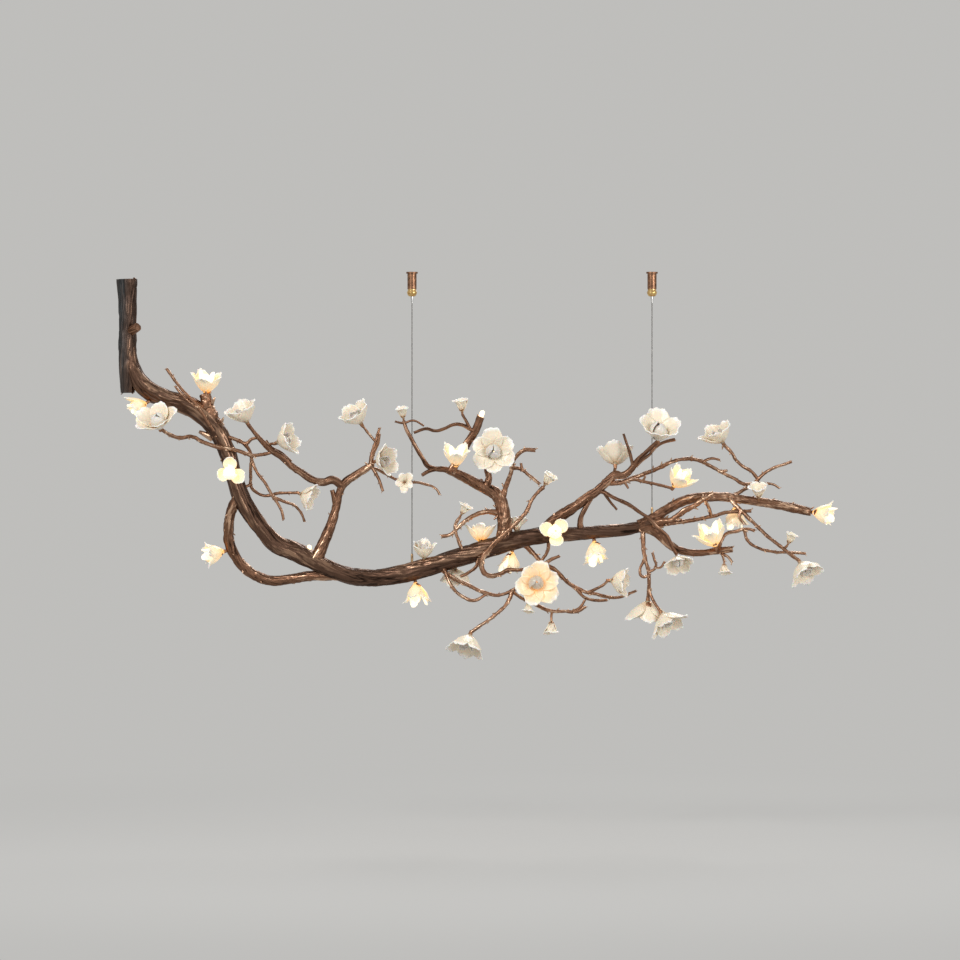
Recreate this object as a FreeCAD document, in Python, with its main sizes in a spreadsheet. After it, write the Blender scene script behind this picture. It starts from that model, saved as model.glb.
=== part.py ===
"""Branch chandelier: a bronze branch with porcelain flowers, hung from two ceiling cable grips.

Frame: millimetres, +Z up, +X along the branch, -Y towards the viewer. The origin is on the
ceiling plane, midway between the two ceiling anchors.
"""
import FreeCAD, Part
import math
import os

from FreeCAD import Placement, Rotation, Vector
from Sketcher import Constraint

doc = FreeCAD.newDocument("branch_chandelier")
parts = {}

# ---------------------------------------------------------------- driving dimensions

SIZES = {
    # suspension
    "anchor_spacing": 600.0,
    "flange_dia": 29.0,
    "flange_thickness": 4.0,
    "cup_dia": 23.0,
    "cup_length": 43.0,
    "cup_wall": 2.0,
    "cup_top": 3.0,
    "screw_hole_dia": 5.0,
    "web_depth": 30.0,
    "web_thickness": 3.0,
    "web_hole_dia": 5.0,
    "grip_length": 18.0,
    "grip_dia": 21.0,
    "grip_bulge_dia": 25.0,
    "grip_lip": 3.0,
    "bulge_foot": 8.0,
    "bulge_top": 11.0,
    "bulge_shoulder": 15.0,
    "spigot_length": 9.5,
    "spigot_play": 0.2,
    "wedge_top_dia": 12.4,
    "wedge_foot_dia": 7.8,
    "grip_bore_dia": 7.4,
    "wedge_foot": 5.0,
    "ball_seat": 9.0,
    "nozzle_length": 17.0,
    "nozzle_dia": 7.0,
    "nozzle_tip_dia": 4.4,
    "nozzle_collar_dia": 8.4,
    "collar_foot": 12.5,
    "collar_top": 13.7,
    "nozzle_bore_dia": 3.4,
    "ball_dia": 3.2,
    "ball_play": 0.02,
    "spring_wire": 0.9,
    "spring_dia": 6.0,
    "spring_turns": 5.0,
    "spring_play": 0.15,
    "cable_dia": 2.5,
    "bend_depth": 90.0,
    "tail_rise": 66.0,
    "bend_gap": 0.4,
    "ferrule_dia": 6.4,
    "ferrule_length": 26.0,
    "ferrule_grip": 14.0,
    "ferrule_lip": 0.8,
    "ferrule_taper": 4.0,
    "left_ferrule_foot": 730.0,
    "right_ferrule_foot": 614.0,
    # branch
    "limb_wall": 3.0,
    "lead_entry_dia": 10.0,
    # flowers
    "petal_thickness": 2.2,
    "stalk_gap": 6.0,
    "calyx_depth": 10.0,
    "lamp_dia": 5.0,
    "lamp_height": 7.0,
}

sheet = doc.addObject("Spreadsheet::Sheet", "Sizes")
for row, (alias, value) in enumerate(SIZES.items(), start=1):
    sheet.set(f"A{row}", alias)
    sheet.set(f"B{row}", str(value))
    sheet.setAlias(f"B{row}", alias)
doc.recompute()


def size(alias):
    """Read one driving dimension back from the sheet."""
    return float(sheet.get(alias))


# ---------------------------------------------------------------- turned pieces


def origin_feature(body, role):
    return [item for item in body.Origin.OriginFeatures if item.Role == role][0]


def turned(name, profile):
    """A body turned about its own Z axis from a closed profile of (radius, height) expressions."""
    body = doc.addObject("PartDesign::Body", name)
    sketch = body.newObject("Sketcher::SketchObject", name + "_profile")
    sketch.AttachmentSupport = [(origin_feature(body, "XZ_Plane"), "")]
    sketch.MapMode = "FlatFace"
    count = len(profile)
    rough = [Vector(index + 1, index * index, 0) for index in range(count)]
    for index in range(count):
        sketch.addGeometry(Part.LineSegment(rough[index], rough[(index + 1) % count]), False)
    for index in range(count):
        sketch.addConstraint(Constraint("Coincident", index, 2, (index + 1) % count, 1))
    for index, (radius, height) in enumerate(profile):
        bind_corner(sketch, "DistanceX", index, radius)
        if height == "0":
            sketch.addConstraint(Constraint("PointOnObject", index, 1, -1))
        else:
            bind_corner(sketch, "DistanceY", index, height)
    turning = body.newObject("PartDesign::Revolution", name + "_turning")
    turning.Profile = sketch
    turning.ReferenceAxis = (sketch, ["V_Axis"])
    turning.Angle = 360.0
    body.Tip = turning
    return body


def bind_corner(sketch, kind, index, expression):
    """Tie one corner's distance from the origin to the sizes; the 1 holds until they are read."""
    number = sketch.addConstraint(Constraint(kind, -1, 1, index, 1, 1.0))
    sketch.setExpression(f"Constraints[{number}]", expression)


def keep(node, item, position=None):
    """Name a finished piece after its node and put it in its place."""
    item.Label = node
    if position is not None:
        item.Placement = Placement(Vector(*position), Rotation())
    parts[node] = item
    return item


def pair(node, pieces):
    """Two identical pieces under one name."""
    group = doc.addObject("Part::Compound", node)
    group.Links = pieces
    return keep(node, group)


def shaped(node, shape):
    feature = doc.addObject("Part::Feature", node)
    feature.Shape = shape
    return keep(node, feature)


SIDES = {"left": -size("anchor_spacing") / 2, "right": size("anchor_spacing") / 2}
GRIP_TOP = -size("cup_length")
GRIP_FOOT = GRIP_TOP - size("grip_length")
BALL_HEIGHT = GRIP_FOOT + size("ball_seat")
WEB_FOOT = -size("web_depth") - size("web_thickness")


def anchor_cup(side):
    """Flanged cup that a ceiling screw holds; a web inside it backs the grip's spring."""
    inner = "Sizes.cup_dia / 2 - Sizes.cup_wall"
    cup = turned(f"{side}_cup", [
        ("Sizes.cup_dia / 2", "0"),
        ("Sizes.cup_dia / 2", "Sizes.cup_length - Sizes.flange_thickness"),
        ("Sizes.flange_dia / 2", "Sizes.cup_length - Sizes.flange_thickness"),
        ("Sizes.flange_dia / 2", "Sizes.cup_length"),
        ("Sizes.screw_hole_dia / 2", "Sizes.cup_length"),
        ("Sizes.screw_hole_dia / 2", "Sizes.cup_length - Sizes.cup_top"),
        (inner, "Sizes.cup_length - Sizes.cup_top"),
        (inner, "Sizes.cup_length - Sizes.web_depth"),
        ("Sizes.web_hole_dia / 2", "Sizes.cup_length - Sizes.web_depth"),
        ("Sizes.web_hole_dia / 2", "Sizes.cup_length - Sizes.web_depth - Sizes.web_thickness"),
        (inner, "Sizes.cup_length - Sizes.web_depth - Sizes.web_thickness"),
        (inner, "0"),
    ])
    cup.Placement = Placement(Vector(SIDES[side], 0, GRIP_TOP), Rotation())
    return cup


def gripper_body(side):
    """Bulged brass ring with a spigot up into the cup and a wedge bore for the clamp balls."""
    spigot = "Sizes.cup_dia / 2 - Sizes.cup_wall - Sizes.spigot_play"
    grip = turned(f"{side}_grip", [
        ("Sizes.grip_bore_dia / 2", "0"),
        ("Sizes.grip_dia / 2 - Sizes.grip_lip", "0"),
        ("Sizes.grip_dia / 2", "Sizes.grip_lip"),
        ("Sizes.grip_bulge_dia / 2", "Sizes.bulge_foot"),
        ("Sizes.grip_bulge_dia / 2", "Sizes.bulge_top"),
        ("Sizes.grip_dia / 2", "Sizes.bulge_shoulder"),
        ("Sizes.grip_dia / 2", "Sizes.grip_length"),
        (spigot, "Sizes.grip_length"),
        (spigot, "Sizes.grip_length + Sizes.spigot_length"),
        ("Sizes.wedge_top_dia / 2", "Sizes.grip_length + Sizes.spigot_length"),
        ("Sizes.wedge_top_dia / 2", "Sizes.grip_length + Sizes.grip_lip"),
        ("Sizes.wedge_foot_dia / 2", "Sizes.wedge_foot"),
        ("Sizes.grip_bore_dia / 2", "Sizes.wedge_foot"),
    ])
    grip.Placement = Placement(Vector(SIDES[side], 0, GRIP_FOOT), Rotation())
    return grip


def release_nozzle(side):
    """Tapered steel nozzle; pushed up, its barrel lifts the balls out of the wedge."""
    barrel_top = "Sizes.nozzle_length + Sizes.ball_seat - Sizes.ball_dia / 2 - Sizes.ball_play"
    nozzle = turned(f"{side}_nozzle", [
        ("Sizes.nozzle_bore_dia / 2", "0"),
        ("Sizes.nozzle_tip_dia / 2", "0"),
        ("Sizes.nozzle_dia / 2", "Sizes.collar_foot"),
        ("Sizes.nozzle_collar_dia / 2", "Sizes.collar_foot"),
        ("Sizes.nozzle_collar_dia / 2", "Sizes.collar_top"),
        ("Sizes.nozzle_dia / 2", "Sizes.collar_top"),
        ("Sizes.nozzle_dia / 2", barrel_top),
        ("Sizes.nozzle_bore_dia / 2", barrel_top),
    ])
    foot = GRIP_FOOT - size("nozzle_length")
    keep(f"{side}_release_nozzle", nozzle, (SIDES[side], 0, foot))


def clamp_balls(side):
    """Three steel balls wedged between the cable and the grip's cone."""
    reach = (size("cable_dia") + size("ball_dia")) / 2 + size("ball_play")
    balls = []
    for step in range(3):
        turn = math.radians(120 * step + 90)
        centre = Vector(SIDES[side] + reach * math.cos(turn), reach * math.sin(turn), BALL_HEIGHT)
        balls.append(Part.makeSphere(size("ball_dia") / 2, centre))
    shaped(f"{side}_clamp_balls", Part.makeCompound(balls))


def nozzle_spring(side):
    """Compression spring between the cup's web and the clamp balls."""
    radius = size("spring_dia") / 2
    wire_radius = size("spring_wire") / 2
    margin = size("spring_play") + wire_radius
    foot = BALL_HEIGHT + size("ball_dia") / 2 + margin
    pitch = (WEB_FOOT - margin - foot) / size("spring_turns")
    path = Part.makeHelix(pitch, pitch * size("spring_turns"), radius)
    climb = Vector(0, 1, pitch / (2 * math.pi * radius))
    section = Part.Wire([Part.makeCircle(wire_radius, Vector(radius, 0, 0), climb)])
    spring = Part.Wire(path.Edges).makePipeShell([section], True, True)
    spring.translate(Vector(SIDES[side], 0, foot))
    shaped(f"{side}_nozzle_spring", spring)


def cable(side):
    """Free stretch of the wire rope, from the bend under the nozzle down into its ferrule."""
    rope = doc.addObject("Part::Cylinder", f"{side}_cable")
    rope.setExpression("Radius", "Sizes.cable_dia / 2")
    foot = f"(Sizes.{side}_ferrule_foot - Sizes.ferrule_grip)"
    rope.setExpression("Height", f"{foot} - Sizes.bend_depth")
    drop = size(f"{side}_ferrule_foot") - size("ferrule_grip")
    keep(f"{side}_cable", rope, (SIDES[side], 0, -drop))


def cable_tail(side):
    """The end of the same rope above the bend, gripped and standing up inside the cup."""
    tail = doc.addObject("Part::Cylinder", f"{side}_tail")
    tail.setExpression("Radius", "Sizes.cable_dia / 2")
    tail.setExpression("Height", "Sizes.tail_rise - Sizes.bend_gap")
    foot = -size("bend_depth") + size("bend_gap")
    tail.Placement = Placement(Vector(SIDES[side], 0, foot), Rotation())
    return tail


def cable_ferrule(side):
    """Swaged sleeve that ends a cable; its foot is set into the top of the trunk."""
    bore = "Sizes.cable_dia / 2"
    body = turned(f"{side}_ferrule", [
        (bore, "0"),
        ("Sizes.ferrule_dia / 2", "0"),
        ("Sizes.ferrule_dia / 2", "Sizes.ferrule_length - Sizes.ferrule_taper"),
        (bore + " + Sizes.ferrule_lip", "Sizes.ferrule_length"),
        (bore, "Sizes.ferrule_length"),
    ])
    body.Placement = Placement(Vector(SIDES[side], 0, -size(f"{side}_ferrule_foot")), Rotation())
    return body


def suspension():
    pair("anchor_cups", [anchor_cup(side) for side in SIDES])
    pair("gripper_bodies", [gripper_body(side) for side in SIDES])
    pair("cable_tails", [cable_tail(side) for side in SIDES])
    pair("cable_ferrules", [cable_ferrule(side) for side in SIDES])
    for side in SIDES:
        release_nozzle(side)
        clamp_balls(side)
        nozzle_spring(side)
        cable(side)


# ---------------------------------------------------------------- limbs and twigs
# Each limb is (diameters spread evenly from root to tip, route of (x, y, z) points).


def spread(values, share):
    """Value at a share of the way along a list of evenly spaced values."""
    place = share * (len(values) - 1)
    index = min(int(place), len(values) - 2)
    return values[index] + (values[index + 1] - values[index]) * (place - index)


def rounded(route):
    """The route with one more point on each run, on a smooth curve through the points."""
    points = [Vector(*point) for point in route]
    result = []
    for index in range(len(points) - 1):
        before = points[max(index - 1, 0)]
        start, end = points[index], points[index + 1]
        after = points[min(index + 2, len(points) - 1)]
        result.append(start)
        result.append((start + end) * 0.5625 - (before + after) * 0.0625)
    result.append(points[-1])
    return result


def limb(diameters, route, inset=0.0, ends=(0, 0)):
    """Round solid along a route; inset and ends give the smaller solid that hollows it."""
    points = rounded(route)
    last = len(points) - 1
    first_kept, last_kept = ends[0], last - ends[1]
    sections = []
    for index in range(first_kept, last_kept + 1):
        along = points[min(index + 1, last)] - points[max(index - 1, 0)]
        radius = spread(diameters, index / last) / 2 - inset
        ring = Part.Wire([Part.makeCircle(radius)])
        ring.Placement = Placement(points[index], Rotation(Vector(0, 1, 0), Vector(), along, "ZXY"))
        sections.append(ring)
    return Part.makeLoft(sections, True, True)


def hollow_limb(diameters, route):
    """Limb with the wall left round a wiring duct that stops short of both ends."""
    return limb(diameters, route).cut(limb(diameters, route, size("limb_wall"), (1, 1)))


def twigs(*limbs):
    return Part.makeCompound([limb(diameters, route) for diameters, route in limbs])


def upright_trunk():
    """Flat-cut log at the left end, with a sawn knot and a bore in its top for the supply lead."""
    diameters = (50, 45, 43, 45, 34)
    route = [(-1012, 0, -18), (-1011, 0, -70), (-1012, 0, -140), (-1012, 0, -210), (-1011, 0, -302)]
    log = hollow_limb(diameters, route)
    knot = limb((18, 15, 14), [(-1000, 0, -142), (-990, -4, -140), (-982, -7, -138)])
    entry = Part.makeCylinder(size("lead_entry_dia") / 2, 40, Vector(-1012, 0, -50))
    shaped("upright_trunk", log.fuse(knot.cut(limb((34, 34), route[1:4]))).cut(entry))


def main_trunk():
    diameters = (36, 44, 47, 48, 49, 48, 44, 42, 41, 41, 41, 42, 44, 47, 45, 42, 43, 45, 47, 46, 45, 43, 34,
                 32, 30, 27)
    route = [(-1012, 0, -175), (-995, 0, -250), (-962, 0, -292), (-918, -2, -315), (-868, -4, -330),
             (-830, -5, -350), (-792, -4, -390), (-765, -2, -442), (-742, 0, -520), (-728, 2, -562),
             (-700, 4, -610), (-670, 5, -650), (-638, 5, -682), (-592, 4, -700), (-540, 2, -727),
             (-482, 0, -752), (-402, 0, -765), (-328, 0, -757), (-252, 0, -735), (-172, 0, -710),
             (-80, 0, -682), (20, 0, -658), (98, 0, -655), (170, 0, -650), (258, 0, -639), (300, 0, -625)]
    shaped("main_trunk", hollow_limb(diameters, route))


def upper_right_limb():
    shaped("upper_right_limb", hollow_limb(
        (30, 27, 25, 24, 23, 22, 22, 23, 22),
        [(270, 0, -636), (305, 2, -615), (340, 6, -592), (392, 13, -568), (462, 20, -562),
         (532, 24, -569), (602, 25, -580), (655, 23, -590), (698, 20, -600)]))


def lower_right_limb():
    shaped("lower_right_limb", limb(
        (27, 26, 24, 20, 18, 17, 17, 16),
        [(270, 0, -636), (300, -2, -645), (325, -5, -662), (342, -8, -680), (370, -12, -696),
         (417, -17, -702), (462, -21, -696), (500, -24, -692)]))


def lower_loop_limb():
    shaped("lower_loop_limb", hollow_limb(
        (24, 26, 27, 27, 26, 26, 26, 25, 25, 25, 25, 24),
        [(-735, 2, -560), (-754, 10, -602), (-760, 20, -648), (-758, 28, -680), (-744, 34, -712),
         (-720, 37, -740), (-689, 37, -762), (-655, 34, -772), (-608, 28, -769), (-560, 19, -761),
         (-520, 9, -759), (-482, 0, -758)]))


def left_arch_limb():
    """Riser from the trunk that bends over into an arch, with a short sawn stub."""
    shaped("left_arch_limb", twigs(
        ((32, 28, 24, 20, 19, 20, 20, 19, 16),
         [(-540, 0, -720), (-520, 2, -672), (-500, 5, -625), (-488, 8, -580), (-478, 8, -542),
          (-465, 7, -524), (-445, 4, -510), (-422, -1, -496), (-399, -8, -481)]),
        ((15, 12), [(-490, 8, -580), (-495, 6, -562), (-500, 5, -545)])))


def left_bridge_limb():
    """Thin limb from the left that meets the arch at a knot, with a thinner rod along its root."""
    shaped("left_bridge_limb", twigs(
        ((9, 10, 12, 14, 17, 18, 18, 19, 19, 21, 22),
         [(-708, -26, -382), (-692, -24, -402), (-675, -22, -422), (-652, -20, -445),
          (-625, -17, -462), (-600, -12, -485), (-574, -5, -502), (-550, 1, -518), (-522, 5, -525),
          (-498, 7, -520), (-472, 8, -538)]),
        ((8, 9, 9, 9), [(-665, -14, -422), (-650, -12, -440), (-628, -14, -452), (-602, -12, -475)])))


def crown_limb():
    shaped("crown_limb", twigs(
        ((38, 34, 33, 31, 28, 27, 24, 19, 15, 13, 12, 11, 10, 10, 9, 8),
         [(-72, 0, -685), (-69, 8, -640), (-74, 14, -592), (-85, 16, -562), (-113, 16, -542),
          (-145, 12, -525), (-178, 6, -509), (-200, 0, -500), (-220, -5, -493), (-241, -10, -492),
          (-260, -15, -485), (-274, -19, -465), (-288, -22, -442), (-301, -25, -417),
          (-314, -26, -392), (-320, -26, -372)]),
        ((11, 10, 9), [(-240, -10, -492), (-258, -15, -498), (-275, -19, -508)]),
        ((5, 6, 6, 5), [(-342, -26, -374), (-322, -26, -378), (-295, -30, -372), (-270, -38, -385)])))


def lamp_stub_limb():
    """Short thick stub with a bare lamp in its cut end, and the long thin arm beside it."""
    shaped("lamp_stub_limb", twigs(
        ((17, 18, 20, 20, 20, 21),
         [(-205, -2, -500), (-188, 2, -475), (-172, 6, -445), (-158, 8, -422), (-142, 5, -398),
          (-128, 0, -362)]),
        ((10, 9, 9, 8, 8, 8, 8, 7),
         [(-142, 4, -400), (-158, -2, -391), (-175, -6, -382), (-198, -9, -382), (-218, -13, -391),
          (-241, -17, -397), (-263, -20, -392), (-295, -24, -402)]),
        ((8, 7), [(-155, -2, -392), (-165, -6, -372), (-174, -8, -356)])))


def right_fork_limb():
    shaped("right_fork_limb", twigs(
        ((32, 31, 28, 26, 24, 22, 20, 22, 18, 15, 13, 11, 10),
         [(22, 0, -662), (48, 0, -631), (75, -3, -608), (105, -7, -588), (135, -11, -565),
          (161, -14, -548), (186, -16, -525), (206, -18, -508), (228, -21, -508), (248, -25, -492),
          (260, -31, -475), (278, -42, -456), (312, -60, -424)]),
        ((16, 13, 12, 11), [(122, 0, -650), (121, -6, -618), (132, -10, -591), (151, -13, -560)]),
        ((9, 8, 8, 8, 8, 9), [(258, -26, -485), (272, -28, -472), (290, -30, -458), (310, -33, -436),
                              (330, -35, -425), (356, -36, -419)]),
        ((9, 8, 7, 6), [(252, -27, -488), (244, -38, -454), (235, -44, -428), (227, -46, -405)]),
        ((8, 8), [(202, -18, -512), (205, -12, -500), (208, -5, -488)]),
        ((12, 11, 10, 10, 9, 9, 10, 10, 9, 9),
         [(165, -14, -548), (178, -20, -550), (200, -29, -562), (240, -38, -581), (268, -42, -600),
          (290, -44, -615), (312, -43, -639), (335, -40, -660), (349, -35, -688), (360, -30, -705)]),
        ((8, 6), [(178, -18, -550), (196, -10, -575), (212, -4, -594)])))


def left_twigs():
    shaped("left_twigs", twigs(
        ((32, 31, 30, 29), [(-782, -4, -410), (-799, -8, -362), (-812, -12, -330), (-816, -14, -305)]),
        ((12, 10, 9, 8, 7), [(-772, -14, -428), (-805, -24, -380), (-838, -30, -332),
                             (-875, -30, -292), (-912, -26, -242)]),
        ((9, 8, 7, 6), [(-832, -26, -340), (-855, -24, -325), (-872, -22, -308), (-891, -20, -286)]),
        ((8, 9, 10, 10, 10, 10, 10, 10, 10, 9, 9),
         [(-925, -58, -392), (-905, -56, -405), (-878, -52, -415), (-848, -47, -412),
          (-818, -42, -426), (-788, -36, -437), (-752, -32, -442), (-725, -29, -450),
          (-700, -26, -458), (-670, -22, -456), (-645, -19, -450)]),
        ((12, 10, 10, 9, 8, 8), [(-765, -6, -412), (-750, -10, -416), (-732, -10, -422),
                                 (-715, -10, -429), (-700, -14, -418), (-682, -20, -414)]),
        ((9, 9, 9, 8, 8, 8, 8, 8, 8, 8, 7, 7),
         [(-720, -9, -428), (-709, -2, -442), (-702, 5, -462), (-704, 12, -488), (-704, 18, -512),
          (-705, 22, -534), (-691, 24, -551), (-675, 24, -559), (-660, 21, -559), (-638, 13, -554),
          (-612, 3, -552), (-585, -6, -552)]),
        ((8, 8, 7, 7), [(-702, 6, -468), (-688, -2, -500), (-665, -8, -531), (-650, -12, -557),
                        (-635, -15, -578), (-625, -18, -598), (-620, -20, -619)]),
        ((8, 7, 6), [(-645, -13, -564), (-618, -8, -574), (-592, 0, -586), (-576, 7, -605),
                     (-569, 11, -624)]),
        ((8, 8), [(-730, 4, -545), (-715, 14, -536), (-702, 20, -530)]),
        ((8, 7), [(-662, -20, -435), (-652, -14, -430), (-642, -10, -429)])))


def centre_twigs():
    shaped("centre_twigs", twigs(
        ((12, 11, 10, 9, 7), [(-402, -7, -485), (-401, -8, -465), (-395, -8, -442), (-389, -6, -420),
                              (-381, -2, -390)]),
        ((8, 6), [(-399, -8, -458), (-386, -12, -432), (-380, -14, -405)]),
        ((7, 6), [(-390, -7, -425), (-405, -11, -408), (-424, -15, -384)]),
        ((10, 8, 7), [(-405, -6, -482), (-395, -10, -495), (-385, -15, -512), (-372, -22, -548)]),
        ((8, 7, 6), [(-405, -4, -488), (-385, 4, -495), (-360, 6, -508), (-335, -6, -522),
                     (-312, -17, -528), (-290, -19, -526), (-268, -17, -530), (-240, -12, -542),
                     (-231, -9, -556)]),
        ((18, 17, 16, 15, 12), [(-118, 14, -542), (-109, 11, -520), (-111, 10, -495), (-109, 14, -472),
                                (-95, 18, -450)]),
        ((14, 12, 11, 10, 10, 10, 11), [(-74, 15, -565), (-62, 10, -528), (-52, 7, -501),
                                        (-49, 5, -478), (-36, 2, -458), (-20, 0, -446), (8, 2, -445)]),
        ((9, 8), [(-50, 6, -490), (-32, 0, -492), (-20, -4, -498), (-1, -9, -514), (19, -13, -530)]),
        ((8, 7), [(-24, -3, -498), (-26, -5, -488), (-28, -6, -478)]),
        ((9, 9, 10, 11, 12, 11, 10, 9, 8),
         [(28, -14, -538), (15, -18, -550), (0, -23, -569), (-14, -29, -598), (-41, -34, -628),
          (-70, -36, -655), (-105, -36, -690), (-121, -35, -711), (-126, -34, -736),
          (-110, -34, -758), (-82, -34, -755), (-60, -32, -744), (-35, -24, -744), (-4, -10, -740),
          (28, -4, -731), (48, 0, -719), (69, 2, -710)]),
        ((14, 12, 11, 10, 10, 9, 9), [(-85, 12, -602), (-115, 5, -600), (-139, 0, -606),
                                      (-163, -5, -620), (-188, -8, -642), (-206, -8, -657),
                                      (-226, -6, -661)]),
        ((9, 8), [(-172, -6, -699), (-184, -12, -672), (-191, -10, -648), (-190, -9, -628),
                  (-179, -11, -611)]),
        ((9, 8), [(-198, -3, -500), (-194, -20, -501), (-190, -33, -493)])))


def under_twigs():
    shaped("under_twigs", twigs(
        ((12, 10, 9, 8), [(-238, 0, -732), (-215, -6, -752), (-189, -9, -768), (-163, -8, -781),
                          (-138, -4, -794), (-115, 0, -802), (-92, 0, -808), (-68, -4, -804),
                          (-42, -6, -792), (-15, -3, -778)]),
        ((9, 8), [(-222, -10, -738), (-206, -26, -775), (-190, -32, -798), (-169, -28, -813),
                  (-145, -14, -821), (-116, -1, -806)]),
        ((9, 7), [(-132, -10, -710), (-142, -22, -738), (-160, -27, -752), (-179, -30, -761)]),
        ((10, 9, 8), [(-48, -6, -795), (-61, -14, -825), (-83, -20, -849), (-109, -24, -870),
                      (-132, -26, -885), (-153, -27, -900)]),
        ((8, 9, 8), [(-50, -6, -798), (-22, -6, -818), (10, -8, -832), (35, -12, -844),
                     (61, -14, -848), (86, -13, -848), (108, -12, -850), (134, -12, -836)]),
        ((8, 6), [(102, -12, -849), (120, -8, -838), (132, -6, -820)]),
        ((6, 6), [(50, -13, -848), (48, -16, -856), (48, -19, -865)]),
        ((6, 5), [(-20, -6, -819), (-12, -15, -816), (-8, -20, -820)]),
        ((14, 11, 10, 9, 8, 7), [(-25, 2, -675), (2, 8, -702), (22, 13, -724), (57, 14, -744),
                                 (82, 11, -769), (108, 7, -788), (136, 7, -800), (165, 12, -806),
                                 (196, 24, -814), (220, 32, -814), (242, 38, -806), (262, 40, -798)]),
        ((8, 7), [(108, 6, -790), (135, 0, -815), (165, -2, -821), (188, -4, -820)]),
        ((8, 7), [(140, 6, -802), (160, 0, -792), (178, -6, -782), (190, -10, -771)]),
        ((8, 8), [(42, 4, -670), (39, 9, -698), (24, 12, -722)])))


def right_twigs():
    shaped("right_twigs", twigs(
        ((10, 11, 10, 9, 9, 10), [(188, -14, -525), (219, -6, -525), (255, 8, -514), (289, 18, -502),
                                  (320, 25, -489), (352, 30, -474), (385, 33, -467), (418, 34, -471),
                                  (448, 33, -485), (475, 32, -500), (509, 33, -517), (532, 34, -530),
                                  (560, 34, -529)]),
        ((8, 6), [(428, 34, -475), (450, 38, -466), (472, 40, -469)]),
        ((7, 6), [(475, 32, -500), (483, 29, -497), (490, 27, -496)]),
        ((9, 8), [(188, -16, -530), (220, -20, -528), (248, -24, -519), (278, -28, -524),
                  (312, -30, -531), (350, -31, -541)]),
        ((6, 5), [(230, -22, -525), (235, -24, -533), (240, -26, -541)]),
        ((6, 5), [(275, -28, -524), (279, -31, -517), (282, -33, -510)]),
        ((8, 8), [(480, 3, -432), (500, 10, -452), (512, 17, -471), (530, 24, -486), (550, 30, -498),
                  (565, 34, -515)]),
        ((9, 7), [(562, 34, -525), (580, 30, -506), (604, 24, -491), (628, 18, -482),
                  (650, 13, -474)]),
        ((8, 6), [(560, 34, -529), (585, 36, -528), (605, 37, -531), (622, 38, -541)]),
        ((8, 9), [(562, 34, -530), (542, 33, -540), (515, 28, -554), (490, 22, -568)]),
        ((18, 15, 13, 12), [(306, -6, -629), (325, -12, -624), (350, -18, -619), (375, -23, -600),
                            (402, -26, -586), (425, -28, -570), (450, -28, -555)]),
        ((12, 10, 9, 8), [(308, -4, -631), (340, -9, -629), (392, -6, -622), (428, -2, -615),
                          (460, 0, -608), (485, 0, -601), (515, -3, -599), (548, -6, -597)]),
        ((9, 9), [(430, -27, -570), (440, -16, -588), (448, -1, -610)]),
        ((11, 10, 9, 9), [(495, 18, -565), (510, 6, -584), (525, -5, -599), (544, -12, -618),
                          (565, -18, -639), (592, -22, -664), (620, -24, -686), (645, -26, -706),
                          (664, -28, -720)]),
        ((8, 7), [(520, -5, -595), (518, -10, -612), (530, -14, -630)]),
        ((9, 8), [(466, -20, -692), (474, -10, -670), (487, -7, -654), (509, -10, -649),
                  (536, -18, -642), (555, -24, -646)]),
        ((8, 7), [(530, -16, -645), (538, -12, -671), (561, -6, -688), (602, 0, -699),
                  (640, 5, -701), (685, 8, -704)]),
        ((9, 8), [(464, -22, -697), (461, -31, -695), (458, -38, -690)]),
        ((6, 6), [(628, -24, -692), (632, -24, -688), (636, -24, -684)]),
        ((7, 6), [(470, -22, -698), (476, -21, -710), (479, -20, -722)]),
        ((7, 6), [(474, -21, -705), (488, -24, -711), (499, -26, -726)]),
        ((12, 10, 9, 8), [(277, 0, -638), (278, -8, -688), (282, -12, -716), (290, -14, -748),
                          (292, -10, -776), (290, 0, -815)]),
        ((7, 7), [(280, -12, -720), (269, -20, -745), (274, -22, -761), (291, -14, -759)]),
        ((7, 6), [(291, -14, -750), (308, -18, -738), (305, -20, -718), (300, -20, -701)]),
        ((6, 6), [(305, -18, -739), (321, -18, -738), (331, -18, -724)]),
        ((8, 7), [(292, -5, -792), (302, -16, -820), (320, -28, -848)])))


# ---------------------------------------------------------------- flowers
# A petal's midline leaves the flower's heart at one angle to its base plane and ends at
# another; its width follows one outline for all forms.

FORMS = {
    # name: (root angle, tip angle, width share)
    "open": (46, 5, 0.70),
    "star": (50, 5, 0.72),
    "cup": (25, 72, 0.70),
    "bell": (40, 88, 0.60),
}
OUTER_PETALS = 6
SMALL_PETALS = 5
INNER_PETALS = 3
INNER_SHARE = 0.6
INNER_FORM = (45, 95, 0.8)
OUTER_LIFTS = (0, 2)
INNER_LIFTS = (2,)
PETAL_OUTLINE = ((0, 0.42), (0.2, 0.74), (0.45, 0.98), (0.7, 1.0), (0.9, 0.72), (1.0, 0.24))
PETAL_CAMBER = 0.16
HEART_RADIUS = 0.10
HEART_HEIGHT = 0.17
MASTER_LENGTH = 60.0


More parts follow.
